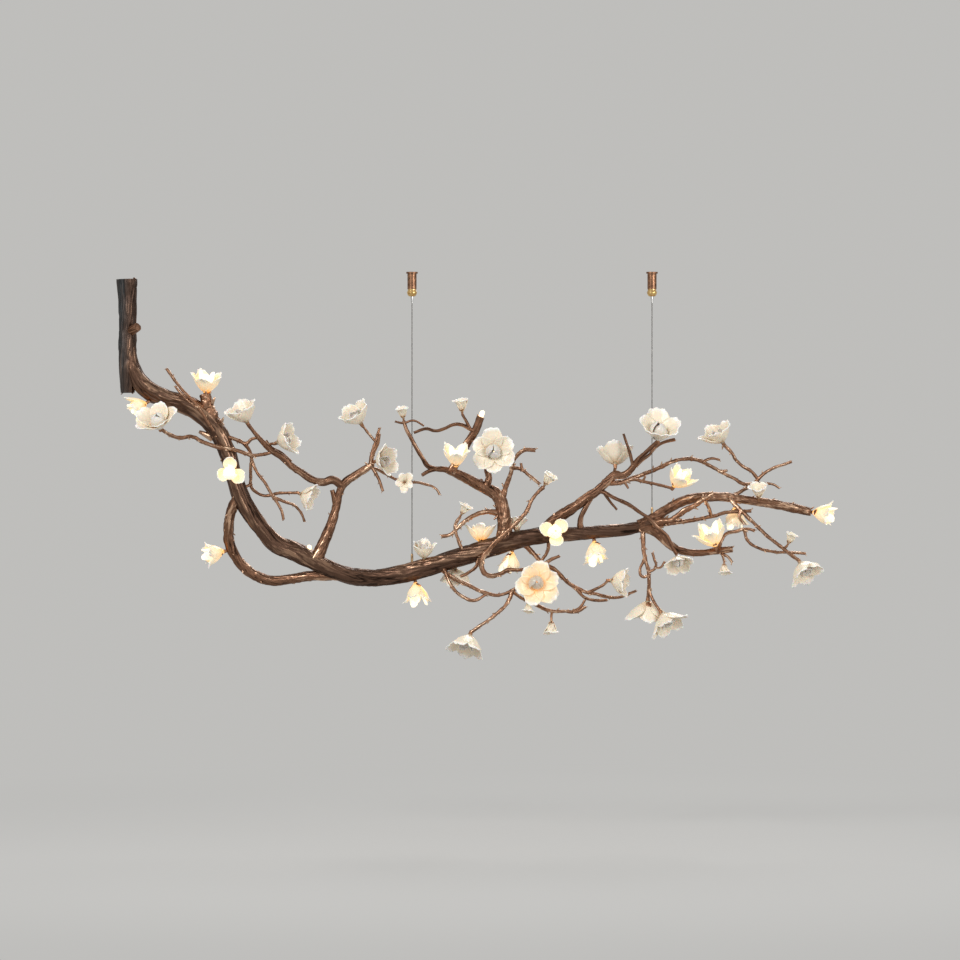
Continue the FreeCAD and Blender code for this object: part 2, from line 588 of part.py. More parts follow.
def petal(length, form):
    """Thin curved blade lofted through crescent sections from heart to tip."""
    root, tip = math.radians(form[0]), math.radians(form[1])
    half = size("petal_thickness") / 2
    sections = []
    for station, share in PETAL_OUTLINE:
        angle = root + (tip - root) * station
        out = length * (HEART_RADIUS + (math.sin(angle) - math.sin(root)) / (tip - root))
        rise = length * (0.03 - (math.cos(angle) - math.cos(root)) / (tip - root))
        width = form[2] * length * share
        normal = Vector(-math.sin(angle), 0, math.cos(angle))
        middle = Vector(out, 0, rise)
        edge = middle + normal * (PETAL_CAMBER * width)
        side = Vector(0, width / 2, 0)
        below = Part.Arc(edge - side, middle - normal * half, edge + side).toShape()
        above = Part.Arc(edge + side, middle + normal * half, edge - side).toShape()
        sections.append(Part.Wire([below, above]))
    return Part.makeLoft(sections, True)


def whorl(blade, count, turn, lifts):
    """Petals evenly round the flower's axis, each set at one of the lifts in turn."""
    ring = []
    for index in range(count):
        copy = blade.copy()
        spin = Rotation(Vector(0, 0, 1), turn + 360 * index / count)
        copy.Placement = Placement(Vector(0, 0, lifts[index % len(lifts)]), spin)
        ring.append(copy)
    return ring


def flower_master(form, outer, inner):
    """One porcelain flower of the master length, standing on the origin and opening along +Z."""
    heart = Part.makeCone(MASTER_LENGTH * 0.085, MASTER_LENGTH * 0.15, MASTER_LENGTH * HEART_HEIGHT)
    blades = whorl(petal(MASTER_LENGTH, FORMS[form]), outer, 0, OUTER_LIFTS)
    if inner:
        blades += whorl(petal(MASTER_LENGTH * INNER_SHARE, INNER_FORM), inner, 30, INNER_LIFTS)
    return heart.multiFuse(blades)


# node name: (end of its twig, way it opens, petal length, form)
FLOWERS = {
    "left_end_back_flower": ((-958, -16, -325), (-0.8, -0.25, -0.45), 46, "cup"),
    "left_end_front_flower": ((-925, -58, -395), (-0.15, -0.7, 0.65), 60, "open"),
    "knob_flower": ((-816, -14, -308), (0.1, -0.3, 0.95), 52, "cup"),
    "left_upright_flower": ((-708, -26, -382), (-0.4, -0.3, 0.87), 62, "cup"),
    "left_side_flower": ((-642, -10, -429), (0.88, -0.3, 0.35), 60, "cup"),
    "inner_left_flower": ((-585, -6, -552), (0.8, -0.25, -0.35), 50, "cup"),
    "loop_flower": ((-766, 28, -698), (-0.9, -0.25, -0.15), 56, "bell"),
    "arch_top_flower": ((-424, -15, -384), (-0.5, -0.4, 0.78), 60, "cup"),
    "arch_side_flower": ((-393, -12, -474), (0.8, -0.55, 0.1), 54, "cup"),
    "stub_root_flower": ((-190, -33, -492), (0.02, -0.4, 0.9), 50, "cup"),
    "crown_flower": ((-95, 12, -450), (0, -0.98, 0.02), 58, "open"),
    "trunk_top_flower": ((-270, -14, -722), (0.05, -0.4, 0.9), 42, "cup"),
    "trunk_back_flower": ((-128, 14, -682), (0, 0.35, 0.93), 50, "cup"),
    "under_left_flower": ((-192, 16, -734), (0, 0.45, -0.9), 48, "cup"),
    "under_left_lit_flower": ((-292, 0, -771), (0.1, -0.3, -0.95), 56, "bell"),
    "under_middle_flower": ((-48, 12, -693), (-0.15, 0.4, -0.9), 50, "cup"),
    "under_big_flower": ((10, -4, -780), (0.03, -0.97, 0.08), 58, "open"),
    "lowest_flower": ((-153, -27, -900), (-0.25, -0.35, -0.9), 64, "cup"),
    "under_right_lit_flower": ((155, 0, -668), (0.12, -0.35, -0.93), 58, "bell"),
    "under_right_side_flower": ((190, -10, -771), (0.95, -0.25, -0.05), 56, "cup"),
    "fork_back_flower": ((208, -5, -488), (0, 0.45, 0.9), 60, "cup"),
    "fork_top_flower": ((312, -60, -424), (0.05, -0.45, 0.9), 70, "cup"),
    "thorn_twig_flower": ((350, -31, -541), (0.8, -0.3, 0.25), 48, "cup"),
    "right_upright_flower": ((480, 3, -432), (-0.45, -0.3, 0.83), 58, "cup"),
    "right_end_flower": ((698, 20, -600), (0.9, -0.35, -0.1), 48, "cup"),
    "low_arm_flower": ((458, -38, -690), (-0.3, -0.45, 0.85), 50, "cup"),
    "hanging_lit_flower": ((510, 28, -582), (-0.05, 0.35, -0.93), 44, "cup"),
    "far_low_flower": ((664, -28, -720), (0.5, -0.4, -0.75), 60, "cup"),
    "low_front_flower": ((360, -30, -705), (0.1, -0.7, -0.7), 40, "open"),
}
TWIN_FLOWERS = (
    ((290, 0, -815), (0.0, 0.1, -0.99), 66, "cup"),
    ((320, -28, -848), (0.45, -0.4, -0.8), 64, "cup"),
)
TRUNK_FRONT_FLOWERS = (
    ((-755, -20, -502), (0.05, -1, 0.1), 44, "open"),
    ((55, -16, -652), (0.05, -1, 0.1), 44, "open"),
)
SMALL_BLOSSOMS = (
    ((-318, -19, -526), (0, -1, 0.05), 26, "star"),
    ((-320, -26, -372), (-0.15, -0.2, 0.97), 32, "bell"),
    ((-174, -8, -356), (-0.1, -0.2, 0.97), 36, "bell"),
    ((28, -14, -538), (0.5, -0.2, 0.8), 36, "bell"),
    ((-179, -11, -611), (0.45, -0.2, 0.85), 30, "bell"),
    ((-38, 14, -655), (0, 0.5, 0.85), 38, "bell"),
    ((-8, -20, -820), (-0.1, -0.3, -0.93), 28, "bell"),
    ((48, -19, -865), (0, -0.2, -0.98), 36, "bell"),
    ((568, 14, -571), (-0.05, -0.4, 0.9), 38, "bell"),
    ((636, -24, -684), (0.4, -0.2, 0.88), 32, "bell"),
    ((479, -20, -722), (0, -0.3, -0.95), 30, "bell"),
)
GROUPED_FLOWERS = {
    "twin_flowers": TWIN_FLOWERS,
    "trunk_front_flowers": TRUNK_FRONT_FLOWERS,
    "small_blossoms": SMALL_BLOSSOMS,
}
LARGE_FLOWERS = (*FLOWERS.values(), *TWIN_FLOWERS, *TRUNK_FRONT_FLOWERS)


def set_at(shape, twig_end, opening, offset, scale=1.0):
    """Turn a piece made along +Z to the way its flower opens and set it on the twig's end."""
    placed = shape.copy()
    if scale != 1.0:
        placed.scale(scale)
    way = Vector(*opening).normalize()
    centre = Vector(*twig_end) + way * offset
    placed.Placement = Placement(centre, Rotation(Vector(0, 0, 1), way))
    return placed


def flowers():
    masters = {form: flower_master(form, OUTER_PETALS, INNER_PETALS) for form in ("open", "cup")}
    masters["star"] = flower_master("star", SMALL_PETALS, 0)
    masters["bell"] = flower_master("bell", SMALL_PETALS, 0)

    def porcelain(twig_end, opening, length, form):
        return set_at(masters[form], twig_end, opening, size("stalk_gap"), length / MASTER_LENGTH)

    for node, flower in FLOWERS.items():
        shaped(node, porcelain(*flower))
    for node, group in GROUPED_FLOWERS.items():
        shaped(node, Part.makeCompound([porcelain(*flower) for flower in group]))


def calyx_cups():
    """A bronze cone under each flower joins it to its twig."""
    cups = []
    for twig_end, opening, length, _form in (*LARGE_FLOWERS, *SMALL_BLOSSOMS):
        cone = Part.makeCone(length * 0.05 + 1, length * 0.085, size("calyx_depth"))
        cups.append(set_at(cone, twig_end, opening, size("stalk_gap") - size("calyx_depth")))
    shaped("calyx_cups", Part.makeCompound(cups))


# (place, way it points) of the bare lamps in the sawn stub and on the trunk
BARE_LAMPS = (((-128, 0, -362), (0.35, 0, 0.93)), ((-558, 4, -699), (0.1, 0, 1)))
BARE_LAMP_SCALE = 2.4


def led_lamps():
    """A domed lamp on the heart of each large flower, and the bare lamps."""
    radius = size("lamp_dia") / 2
    shoulder = size("lamp_height") - radius
    dome = Part.makeSphere(radius, Vector(0, 0, shoulder), Vector(0, 0, 1), 0, 90, 360)
    lamp = Part.makeCylinder(radius, shoulder).fuse(dome)
    lamps = []
    for twig_end, opening, length, _form in LARGE_FLOWERS:
        lamps.append(set_at(lamp, twig_end, opening, size("stalk_gap") + length * HEART_HEIGHT))
    lamps += [set_at(lamp, place, way, 0, BARE_LAMP_SCALE) for place, way in BARE_LAMPS]
    shaped("led_lamps", Part.makeCompound(lamps))


# ---------------------------------------------------------------- build, check, write


def build():
    suspension()
    upright_trunk()
    main_trunk()
    upper_right_limb()
    lower_right_limb()
    lower_loop_limb()
    left_arch_limb()
    left_bridge_limb()
    crown_limb()
    lamp_stub_limb()
    right_fork_limb()
    left_twigs()
    centre_twigs()
    under_twigs()
    right_twigs()
    flowers()
    calyx_cups()
    led_lamps()
    doc.recompute()


def check():
    for item in doc.Objects:
        if "Invalid" in item.State or "Error" in item.State:
            raise RuntimeError(f"{item.Label} failed: {item.State}")
    for node, item in parts.items():
        if item.Shape.isNull() or not item.Shape.isValid():
            raise RuntimeError(f"{node} has no valid shape")


def write():
    os.makedirs("parts", exist_ok=True)
    for node, item in parts.items():
        item.Shape.exportStep(f"parts/{node}.step")
        print(f"{node}: {len(item.Shape.Solids)} solids, {item.Shape.Volume:.0f} mm3")


build()
check()
write()
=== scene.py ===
"""Branch chandelier: a patinated bronze branch, porcelain blossoms with lamps in their hearts, wire ropes.

Metres, +Z up, +X along the branch, -Y towards the viewer. The origin is on the ceiling plane,
midway between the two ceiling anchors. Tables of places, diameters and lengths are in millimetres.
"""
import math

import bmesh
import bpy
from mathutils import Matrix, Vector

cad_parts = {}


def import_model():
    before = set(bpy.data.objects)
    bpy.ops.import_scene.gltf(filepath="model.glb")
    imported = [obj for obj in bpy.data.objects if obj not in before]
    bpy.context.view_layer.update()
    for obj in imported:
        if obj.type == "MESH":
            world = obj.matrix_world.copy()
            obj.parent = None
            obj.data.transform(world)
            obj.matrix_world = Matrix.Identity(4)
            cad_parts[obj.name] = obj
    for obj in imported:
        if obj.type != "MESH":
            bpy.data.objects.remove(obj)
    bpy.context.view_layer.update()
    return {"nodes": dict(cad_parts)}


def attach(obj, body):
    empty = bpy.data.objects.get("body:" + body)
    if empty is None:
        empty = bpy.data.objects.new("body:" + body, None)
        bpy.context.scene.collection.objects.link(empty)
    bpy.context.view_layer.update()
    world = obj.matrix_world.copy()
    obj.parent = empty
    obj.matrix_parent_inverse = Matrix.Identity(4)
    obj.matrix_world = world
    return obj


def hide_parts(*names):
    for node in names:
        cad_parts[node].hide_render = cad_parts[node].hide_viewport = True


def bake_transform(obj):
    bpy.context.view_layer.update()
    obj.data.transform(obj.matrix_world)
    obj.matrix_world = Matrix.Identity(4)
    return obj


MM = 0.001
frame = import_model()

# ---------------- the branch

# Each limb is (diameters spread evenly from root to tip, route of (x, y, z) points).
LIMBS = {
    "upright_trunk": [
        ((50, 45, 43, 45, 34), [(-1012, 0, -18), (-1011, 0, -70), (-1012, 0, -140), (-1012, 0, -210),
         (-1011, 0, -302)]),
    ],
    "upright_trunk_knot": [
        ((25, 24, 22), [(-1008, -6, -150), (-995, -18, -144), (-983, -29, -138)]),
    ],
    "main_trunk": [
        ((36, 44, 47, 48, 49, 48, 44, 42, 41, 41, 41, 42, 44, 47, 45, 42, 43, 45, 47, 46, 45, 43, 34, 32, 30,
         27), [(-1012, 0, -175), (-995, 0, -250), (-962, 0, -292), (-918, -2, -315), (-868, -4, -330),
         (-830, -5, -350), (-792, -4, -390), (-765, -2, -442), (-742, 0, -520), (-728, 2, -562),
         (-700, 4, -610), (-670, 5, -650), (-638, 5, -682), (-592, 4, -700), (-540, 2, -727), (-482, 0, -752),
         (-402, 0, -765), (-328, 0, -757), (-252, 0, -735), (-172, 0, -710), (-80, 0, -682), (20, 0, -658),
         (98, 0, -655), (170, 0, -650), (258, 0, -639), (300, 0, -625)]),
    ],
    "upper_right_limb": [
        ((30, 27, 25, 24, 23, 22, 22, 23, 22), [(270, 0, -636), (305, 2, -615), (340, 6, -592),
         (392, 13, -568), (462, 20, -562), (532, 24, -569), (602, 25, -580), (655, 23, -590),
         (698, 20, -600)]),
    ],
    "lower_right_limb": [
        ((27, 26, 24, 20, 18, 17, 17, 16), [(270, 0, -636), (300, -2, -645), (325, -5, -662), (342, -8, -680),
         (370, -12, -696), (417, -17, -702), (462, -21, -696), (500, -24, -692)]),
    ],
    "lower_loop_limb": [
        ((24, 26, 27, 27, 26, 26, 26, 25, 25, 25, 25, 24), [(-735, 2, -560), (-754, 10, -602),
         (-760, 20, -648), (-758, 28, -680), (-744, 34, -712), (-720, 37, -740), (-689, 37, -762),
         (-655, 34, -772), (-608, 28, -769), (-560, 19, -761), (-520, 9, -759), (-482, 0, -758)]),
    ],
    "left_arch_limb": [
        ((32, 28, 24, 20, 19, 20, 20, 19, 16), [(-540, 0, -720), (-520, 2, -672), (-500, 5, -625),
         (-488, 8, -580), (-478, 8, -542), (-465, 7, -524), (-445, 4, -510), (-422, -1, -496),
         (-399, -8, -481)]),
        ((15, 12), [(-490, 8, -580), (-495, 6, -562), (-500, 5, -545)]),
    ],
    "left_bridge_limb": [
        ((9, 10, 12, 14, 17, 18, 18, 19, 19, 21, 22), [(-708, -26, -382), (-692, -24, -402),
         (-675, -22, -422), (-652, -20, -445), (-625, -17, -462), (-600, -12, -485), (-574, -5, -502),
         (-550, 1, -518), (-522, 5, -525), (-498, 7, -520), (-472, 8, -538)]),
        ((8, 9, 9, 9), [(-665, -14, -422), (-650, -12, -440), (-628, -14, -452), (-602, -12, -475)]),
    ],
    "crown_limb": [
        ((38, 34, 33, 31, 28, 27, 24, 19, 15, 13, 12, 11, 10, 10, 9, 8), [(-72, 0, -685), (-69, 8, -640),
         (-74, 14, -592), (-85, 16, -562), (-113, 16, -542), (-145, 12, -525), (-178, 6, -509),
         (-200, 0, -500), (-220, -5, -493), (-241, -10, -492), (-260, -15, -485), (-274, -19, -465),
         (-288, -22, -442), (-301, -25, -417), (-314, -26, -392), (-320, -26, -372)]),
        ((11, 10, 9), [(-240, -10, -492), (-258, -15, -498), (-275, -19, -508)]),
        ((5, 6, 6, 5), [(-342, -26, -374), (-322, -26, -378), (-295, -30, -372), (-270, -38, -385)]),
    ],
    "lamp_stub_limb": [
        ((17, 18, 20, 20, 20, 21), [(-205, -2, -500), (-188, 2, -475), (-172, 6, -445), (-158, 8, -422),
         (-142, 5, -398), (-128, 0, -362)]),
        ((10, 9, 9, 8, 8, 8, 8, 7), [(-142, 4, -400), (-158, -2, -391), (-175, -6, -382), (-198, -9, -382),
         (-218, -13, -391), (-241, -17, -397), (-263, -20, -392), (-295, -24, -402)]),
        ((8, 7), [(-155, -2, -392), (-165, -6, -372), (-174, -8, -356)]),
    ],
    "right_fork_limb": [
        ((32, 31, 28, 26, 24, 22, 20, 22, 18, 15, 13, 11, 10), [(22, 0, -662), (48, 0, -631), (75, -3, -608),
         (105, -7, -588), (135, -11, -565), (161, -14, -548), (186, -16, -525), (206, -18, -508),
         (228, -21, -508), (248, -25, -492), (260, -31, -475), (278, -42, -456), (312, -60, -424)]),
        ((16, 13, 12, 11), [(122, 0, -650), (121, -6, -618), (132, -10, -591), (151, -13, -560)]),
        ((9, 8, 8, 8, 8, 9), [(258, -26, -485), (272, -28, -472), (290, -30, -458), (310, -33, -436),
         (330, -35, -425), (356, -36, -419)]),
        ((9, 8, 7, 6), [(252, -27, -488), (244, -38, -454), (235, -44, -428), (227, -46, -405)]),
        ((8, 8), [(202, -18, -512), (205, -12, -500), (208, -5, -488)]),
        ((12, 11, 10, 10, 9, 9, 10, 10, 9, 9), [(165, -14, -548), (178, -20, -550), (200, -29, -562),
         (240, -38, -581), (268, -42, -600), (290, -44, -615), (312, -43, -639), (335, -40, -660),
         (349, -35, -688), (360, -30, -705)]),
        ((8, 6), [(178, -18, -550), (196, -10, -575), (212, -4, -594)]),
    ],
    "left_twigs": [
        ((32, 31, 30, 29), [(-782, -4, -410), (-799, -8, -362), (-812, -12, -330), (-816, -14, -305)]),
        ((12, 10, 9, 8, 7), [(-772, -14, -428), (-805, -24, -380), (-838, -30, -332), (-875, -30, -292),
         (-912, -26, -242)]),
        ((9, 8, 7, 6), [(-832, -26, -340), (-855, -24, -325), (-872, -22, -308), (-891, -20, -286)]),
        ((8, 9, 10, 10, 10, 10, 10, 10, 10, 9, 9), [(-925, -58, -392), (-905, -56, -405), (-878, -52, -415),
         (-848, -47, -412), (-818, -42, -426), (-788, -36, -437), (-752, -32, -442), (-725, -29, -450),
         (-700, -26, -458), (-670, -22, -456), (-645, -19, -450)]),
        ((12, 10, 10, 9, 8, 8), [(-765, -6, -412), (-750, -10, -416), (-732, -10, -422), (-715, -10, -429),
         (-700, -14, -418), (-682, -20, -414)]),
        ((9, 9, 9, 8, 8, 8, 8, 8, 8, 8, 7, 7), [(-720, -9, -428), (-709, -2, -442), (-702, 5, -462),
         (-704, 12, -488), (-704, 18, -512), (-705, 22, -534), (-691, 24, -551), (-675, 24, -559),
         (-660, 21, -559), (-638, 13, -554), (-612, 3, -552), (-585, -6, -552)]),
        ((8, 8, 7, 7), [(-702, 6, -468), (-688, -2, -500), (-665, -8, -531), (-650, -12, -557),
         (-635, -15, -578), (-625, -18, -598), (-620, -20, -619)]),
        ((8, 7, 6), [(-645, -13, -564), (-618, -8, -574), (-592, 0, -586), (-576, 7, -605),
         (-569, 11, -624)]),
        ((8, 8), [(-730, 4, -545), (-715, 14, -536), (-702, 20, -530)]),
        ((8, 7), [(-662, -20, -435), (-652, -14, -430), (-642, -10, -429)]),
    ],
    "centre_twigs": [
        ((12, 11, 10, 9, 7), [(-402, -7, -485), (-401, -8, -465), (-395, -8, -442), (-389, -6, -420),
         (-381, -2, -390)]),
        ((8, 6), [(-399, -8, -458), (-386, -12, -432), (-380, -14, -405)]),
        ((7, 6), [(-390, -7, -425), (-405, -11, -408), (-424, -15, -384)]),
        ((10, 8, 7), [(-405, -6, -482), (-395, -10, -495), (-385, -15, -512), (-372, -22, -548)]),
        ((8, 7, 6), [(-405, -4, -488), (-385, 4, -495), (-360, 6, -508), (-335, -6, -522), (-312, -17, -528),
         (-290, -19, -526), (-268, -17, -530), (-240, -12, -542), (-231, -9, -556)]),
        ((18, 17, 16, 15, 12), [(-118, 14, -542), (-109, 11, -520), (-111, 10, -495), (-109, 14, -472),
         (-95, 18, -450)]),
        ((14, 12, 11, 10, 10, 10, 11), [(-74, 15, -565), (-62, 10, -528), (-52, 7, -501), (-49, 5, -478),
         (-36, 2, -458), (-20, 0, -446), (8, 2, -445)]),
        ((9, 8), [(-50, 6, -490), (-32, 0, -492), (-20, -4, -498), (-1, -9, -514), (19, -13, -530)]),
        ((8, 7), [(-24, -3, -498), (-26, -5, -488), (-28, -6, -478)]),
        ((9, 9, 10, 11, 12, 11, 10, 9, 8), [(28, -14, -538), (15, -18, -550), (0, -23, -569),
         (-14, -29, -598), (-41, -34, -628), (-70, -36, -655), (-105, -36, -690), (-121, -35, -711),
         (-126, -34, -736), (-110, -34, -758), (-82, -34, -755), (-60, -32, -744), (-35, -24, -744),
         (-4, -10, -740), (28, -4, -731), (48, 0, -719), (69, 2, -710)]),
        ((14, 12, 11, 10, 10, 9, 9), [(-85, 12, -602), (-115, 5, -600), (-139, 0, -606), (-163, -5, -620),
         (-188, -8, -642), (-206, -8, -657), (-226, -6, -661)]),
        ((9, 8), [(-172, -6, -699), (-184, -12, -672), (-191, -10, -648), (-190, -9, -628),
         (-179, -11, -611)]),
        ((9, 8), [(-198, -3, -500), (-194, -20, -501), (-190, -33, -493)]),
    ],
    "under_twigs": [
        ((12, 10, 9, 8), [(-238, 0, -732), (-215, -6, -752), (-189, -9, -768), (-163, -8, -781),
         (-138, -4, -794), (-115, 0, -802), (-92, 0, -808), (-68, -4, -804), (-42, -6, -792),
         (-15, -3, -778)]),
        ((9, 8), [(-222, -10, -738), (-206, -26, -775), (-190, -32, -798), (-169, -28, -813),
         (-145, -14, -821), (-116, -1, -806)]),
        ((9, 7), [(-132, -10, -710), (-142, -22, -738), (-160, -27, -752), (-179, -30, -761)]),
        ((10, 9, 8), [(-48, -6, -795), (-61, -14, -825), (-83, -20, -849), (-109, -24, -870),
         (-132, -26, -885), (-153, -27, -900)]),
        ((8, 9, 8), [(-50, -6, -798), (-22, -6, -818), (10, -8, -832), (35, -12, -844), (61, -14, -848),
         (86, -13, -848), (108, -12, -850), (134, -12, -836)]),
        ((8, 6), [(102, -12, -849), (120, -8, -838), (132, -6, -820)]),
        ((6, 6), [(50, -13, -848), (48, -16, -856), (48, -19, -865)]),
        ((6, 5), [(-20, -6, -819), (-12, -15, -816), (-8, -20, -820)]),
        ((14, 11, 10, 9, 8, 7), [(-25, 2, -675), (2, 8, -702), (22, 13, -724), (57, 14, -744), (82, 11, -769),
         (108, 7, -788), (136, 7, -800), (165, 12, -806), (196, 24, -814), (220, 32, -814), (242, 38, -806),
         (262, 40, -798)]),
        ((8, 7), [(108, 6, -790), (135, 0, -815), (165, -2, -821), (188, -4, -820)]),
        ((8, 7), [(140, 6, -802), (160, 0, -792), (178, -6, -782), (190, -10, -771)]),
        ((8, 8), [(42, 4, -670), (39, 9, -698), (24, 12, -722)]),
    ],
    "right_twigs": [
        ((10, 11, 10, 9, 9, 10), [(188, -14, -525), (219, -6, -525), (255, 8, -514), (289, 18, -502),
         (320, 25, -489), (352, 30, -474), (385, 33, -467), (418, 34, -471), (448, 33, -485), (475, 32, -500),
         (509, 33, -517), (532, 34, -530), (560, 34, -529)]),
        ((8, 6), [(428, 34, -475), (450, 38, -466), (472, 40, -469)]),
        ((7, 6), [(475, 32, -500), (483, 29, -497), (490, 27, -496)]),
        ((9, 8), [(188, -16, -530), (220, -20, -528), (248, -24, -519), (278, -28, -524), (312, -30, -531),
         (350, -31, -541)]),
        ((6, 5), [(230, -22, -525), (235, -24, -533), (240, -26, -541)]),
        ((6, 5), [(275, -28, -524), (279, -31, -517), (282, -33, -510)]),
        ((8, 8), [(480, 3, -432), (500, 10, -452), (512, 17, -471), (530, 24, -486), (550, 30, -498),
         (565, 34, -515)]),
        ((9, 7), [(562, 34, -525), (580, 30, -506), (604, 24, -491), (628, 18, -482), (650, 13, -474)]),
        ((8, 6), [(560, 34, -529), (585, 36, -528), (605, 37, -531), (622, 38, -541)]),
        ((8, 9), [(562, 34, -530), (542, 33, -540), (515, 28, -554), (490, 22, -568)]),
        ((18, 15, 13, 12), [(306, -6, -629), (325, -12, -624), (350, -18, -619), (375, -23, -600),
         (402, -26, -586), (425, -28, -570), (450, -28, -555)]),
        ((12, 10, 9, 8), [(308, -4, -631), (340, -9, -629), (392, -6, -622), (428, -2, -615), (460, 0, -608),
         (485, 0, -601), (515, -3, -599), (548, -6, -597)]),
        ((9, 9), [(430, -27, -570), (440, -16, -588), (448, -1, -610)]),
        ((11, 10, 9, 9), [(495, 18, -565), (510, 6, -584), (525, -5, -599), (544, -12, -618),
         (565, -18, -639), (592, -22, -664), (620, -24, -686), (645, -26, -706), (664, -28, -720)]),
        ((8, 7), [(520, -5, -595), (518, -10, -612), (530, -14, -630)]),
        ((9, 8), [(466, -20, -692), (474, -10, -670), (487, -7, -654), (509, -10, -649), (536, -18, -642),
         (555, -24, -646)]),
        ((8, 7), [(530, -16, -645), (538, -12, -671), (561, -6, -688), (602, 0, -699), (640, 5, -701),
         (685, 8, -704)]),
        ((9, 8), [(464, -22, -697), (461, -31, -695), (458, -38, -690)]),
        ((6, 6), [(628, -24, -692), (632, -24, -688), (636, -24, -684)]),
        ((7, 6), [(470, -22, -698), (476, -21, -710), (479, -20, -722)]),
        ((7, 6), [(474, -21, -705), (488, -24, -711), (499, -26, -726)]),
        ((12, 10, 9, 8), [(277, 0, -638), (278, -8, -688), (282, -12, -716), (290, -14, -748),
         (292, -10, -776), (290, 0, -815)]),
        ((7, 7), [(280, -12, -720), (269, -20, -745), (274, -22, -761), (291, -14, -759)]),
        ((7, 6), [(291, -14, -750), (308, -18, -738), (305, -20, -718), (300, -20, -701)]),
        ((6, 6), [(305, -18, -739), (321, -18, -738), (331, -18, -724)]),
        ((8, 7), [(292, -5, -792), (302, -16, -820), (320, -28, -848)]),
    ],
}

# How each size of limb is dressed: step and spacings in metres, scales and twist per metre, the rest
# as shares of the limb's radius.
TRUNK_DRESS = dict(
    Ring_Points=72, Step=0.004, Gnarl=0.12, Gnarl_Scale=9.0, Swell=0.10, Crack_Scale=110.0, Ridge_Depth=0.13,
    Twist=3.5, Collar=0.0, Bud_Spacing=0.075, Bud_Size=0.20, Thorn_Spacing=0.19, Thorn_Size=0.20)
LIMB_DRESS = dict(
    Ring_Points=40, Step=0.003, Gnarl=0.34, Gnarl_Scale=22.0, Swell=0.18, Crack_Scale=190.0, Ridge_Depth=0.15,
    Twist=7.0, Collar=0.16, Bud_Spacing=0.030, Bud_Size=0.36, Thorn_Spacing=0.050, Thorn_Size=0.42)
TWIG_DRESS = dict(
    Ring_Points=20, Step=0.0023, Gnarl=1.10, Gnarl_Scale=36.0, Swell=0.30, Crack_Scale=360.0,
    Ridge_Depth=0.16, Twist=14.0, Collar=0.35, Bud_Spacing=0.017, Bud_Size=0.62, Thorn_Spacing=0.024,
    Thorn_Size=0.85)
COLLAR_REACH = 1.4  # radii along the limb over which its collar dies away
# buds and thorns: how far out they stand, how far forward they lean, and how high a ridge their bark has,
# which gives them the pale colour of rubbed wear and painted highlight
SPROUT_SEAT, SPROUT_LEAN, SPROUT_RIDGE = 0.80, 0.9, 0.85
LOG_AXIS, LOG_TOP = -1012.0, -18.0
BORE_RADIUS, BORE_DEPTH = 5.0, 30.0

# ---------------- the blossoms

# A petal's midline leaves the heart at one angle to the flower's base plane and ends at another.
PETAL_FORMS = {
    # name: (root angle, tip angle, outward curl at the rim, width share, camber, tip (0.5 is round), frill)
    "open": (46, 5, 8, 0.90, 0.17, 0.5, 0.020),
    "star": (50, 5, 10, 0.80, 0.17, 0.5, 0.010),
    "bowl": (32, 54, 22, 0.88, 0.22, 0.5, 0.020),
    "cup": (24, 70, 34, 0.88, 0.22, 0.60, 0.022),
    "tulip": (30, 80, 34, 0.64, 0.24, 0.70, 0.022),
    "bell": (40, 86, 62, 0.62, 0.22, 0.85, 0.015),
    "trumpet": (78, 44, 40, 0.74, 0.22, 0.5, 0.015),
    "lobe": (8, 44, -28, 0.84, 0.30, 0.46, 0.0),
    "inner": (45, 95, 8, 0.90, 0.20, 0.5, 0.02),
    "tongue": (62, 92, 16, 0.46, 0.20, 0.5, 0.0),
}
# flower form: (outer petals, inner petals, inner petals' form, their size, stamens)
FLOWER_FORMS = {
    "open": (6, 3, "bud", 0.92, 0),
    "star": (5, 0, "bud", 0.50, 9),
    "bowl": (5, 3, "bud", 0.86, 0),
    "cup": (5, 3, "inner", 0.62, 12),
    "tulip": (5, 3, "tongue", 0.86, 0),
    "bell": (5, 3, "tongue", 1.04, 0),
    "trumpet": (5, 0, "bud", 0.50, 0),
    "lobe": (3, 3, "bud", 1.15, 0),
}

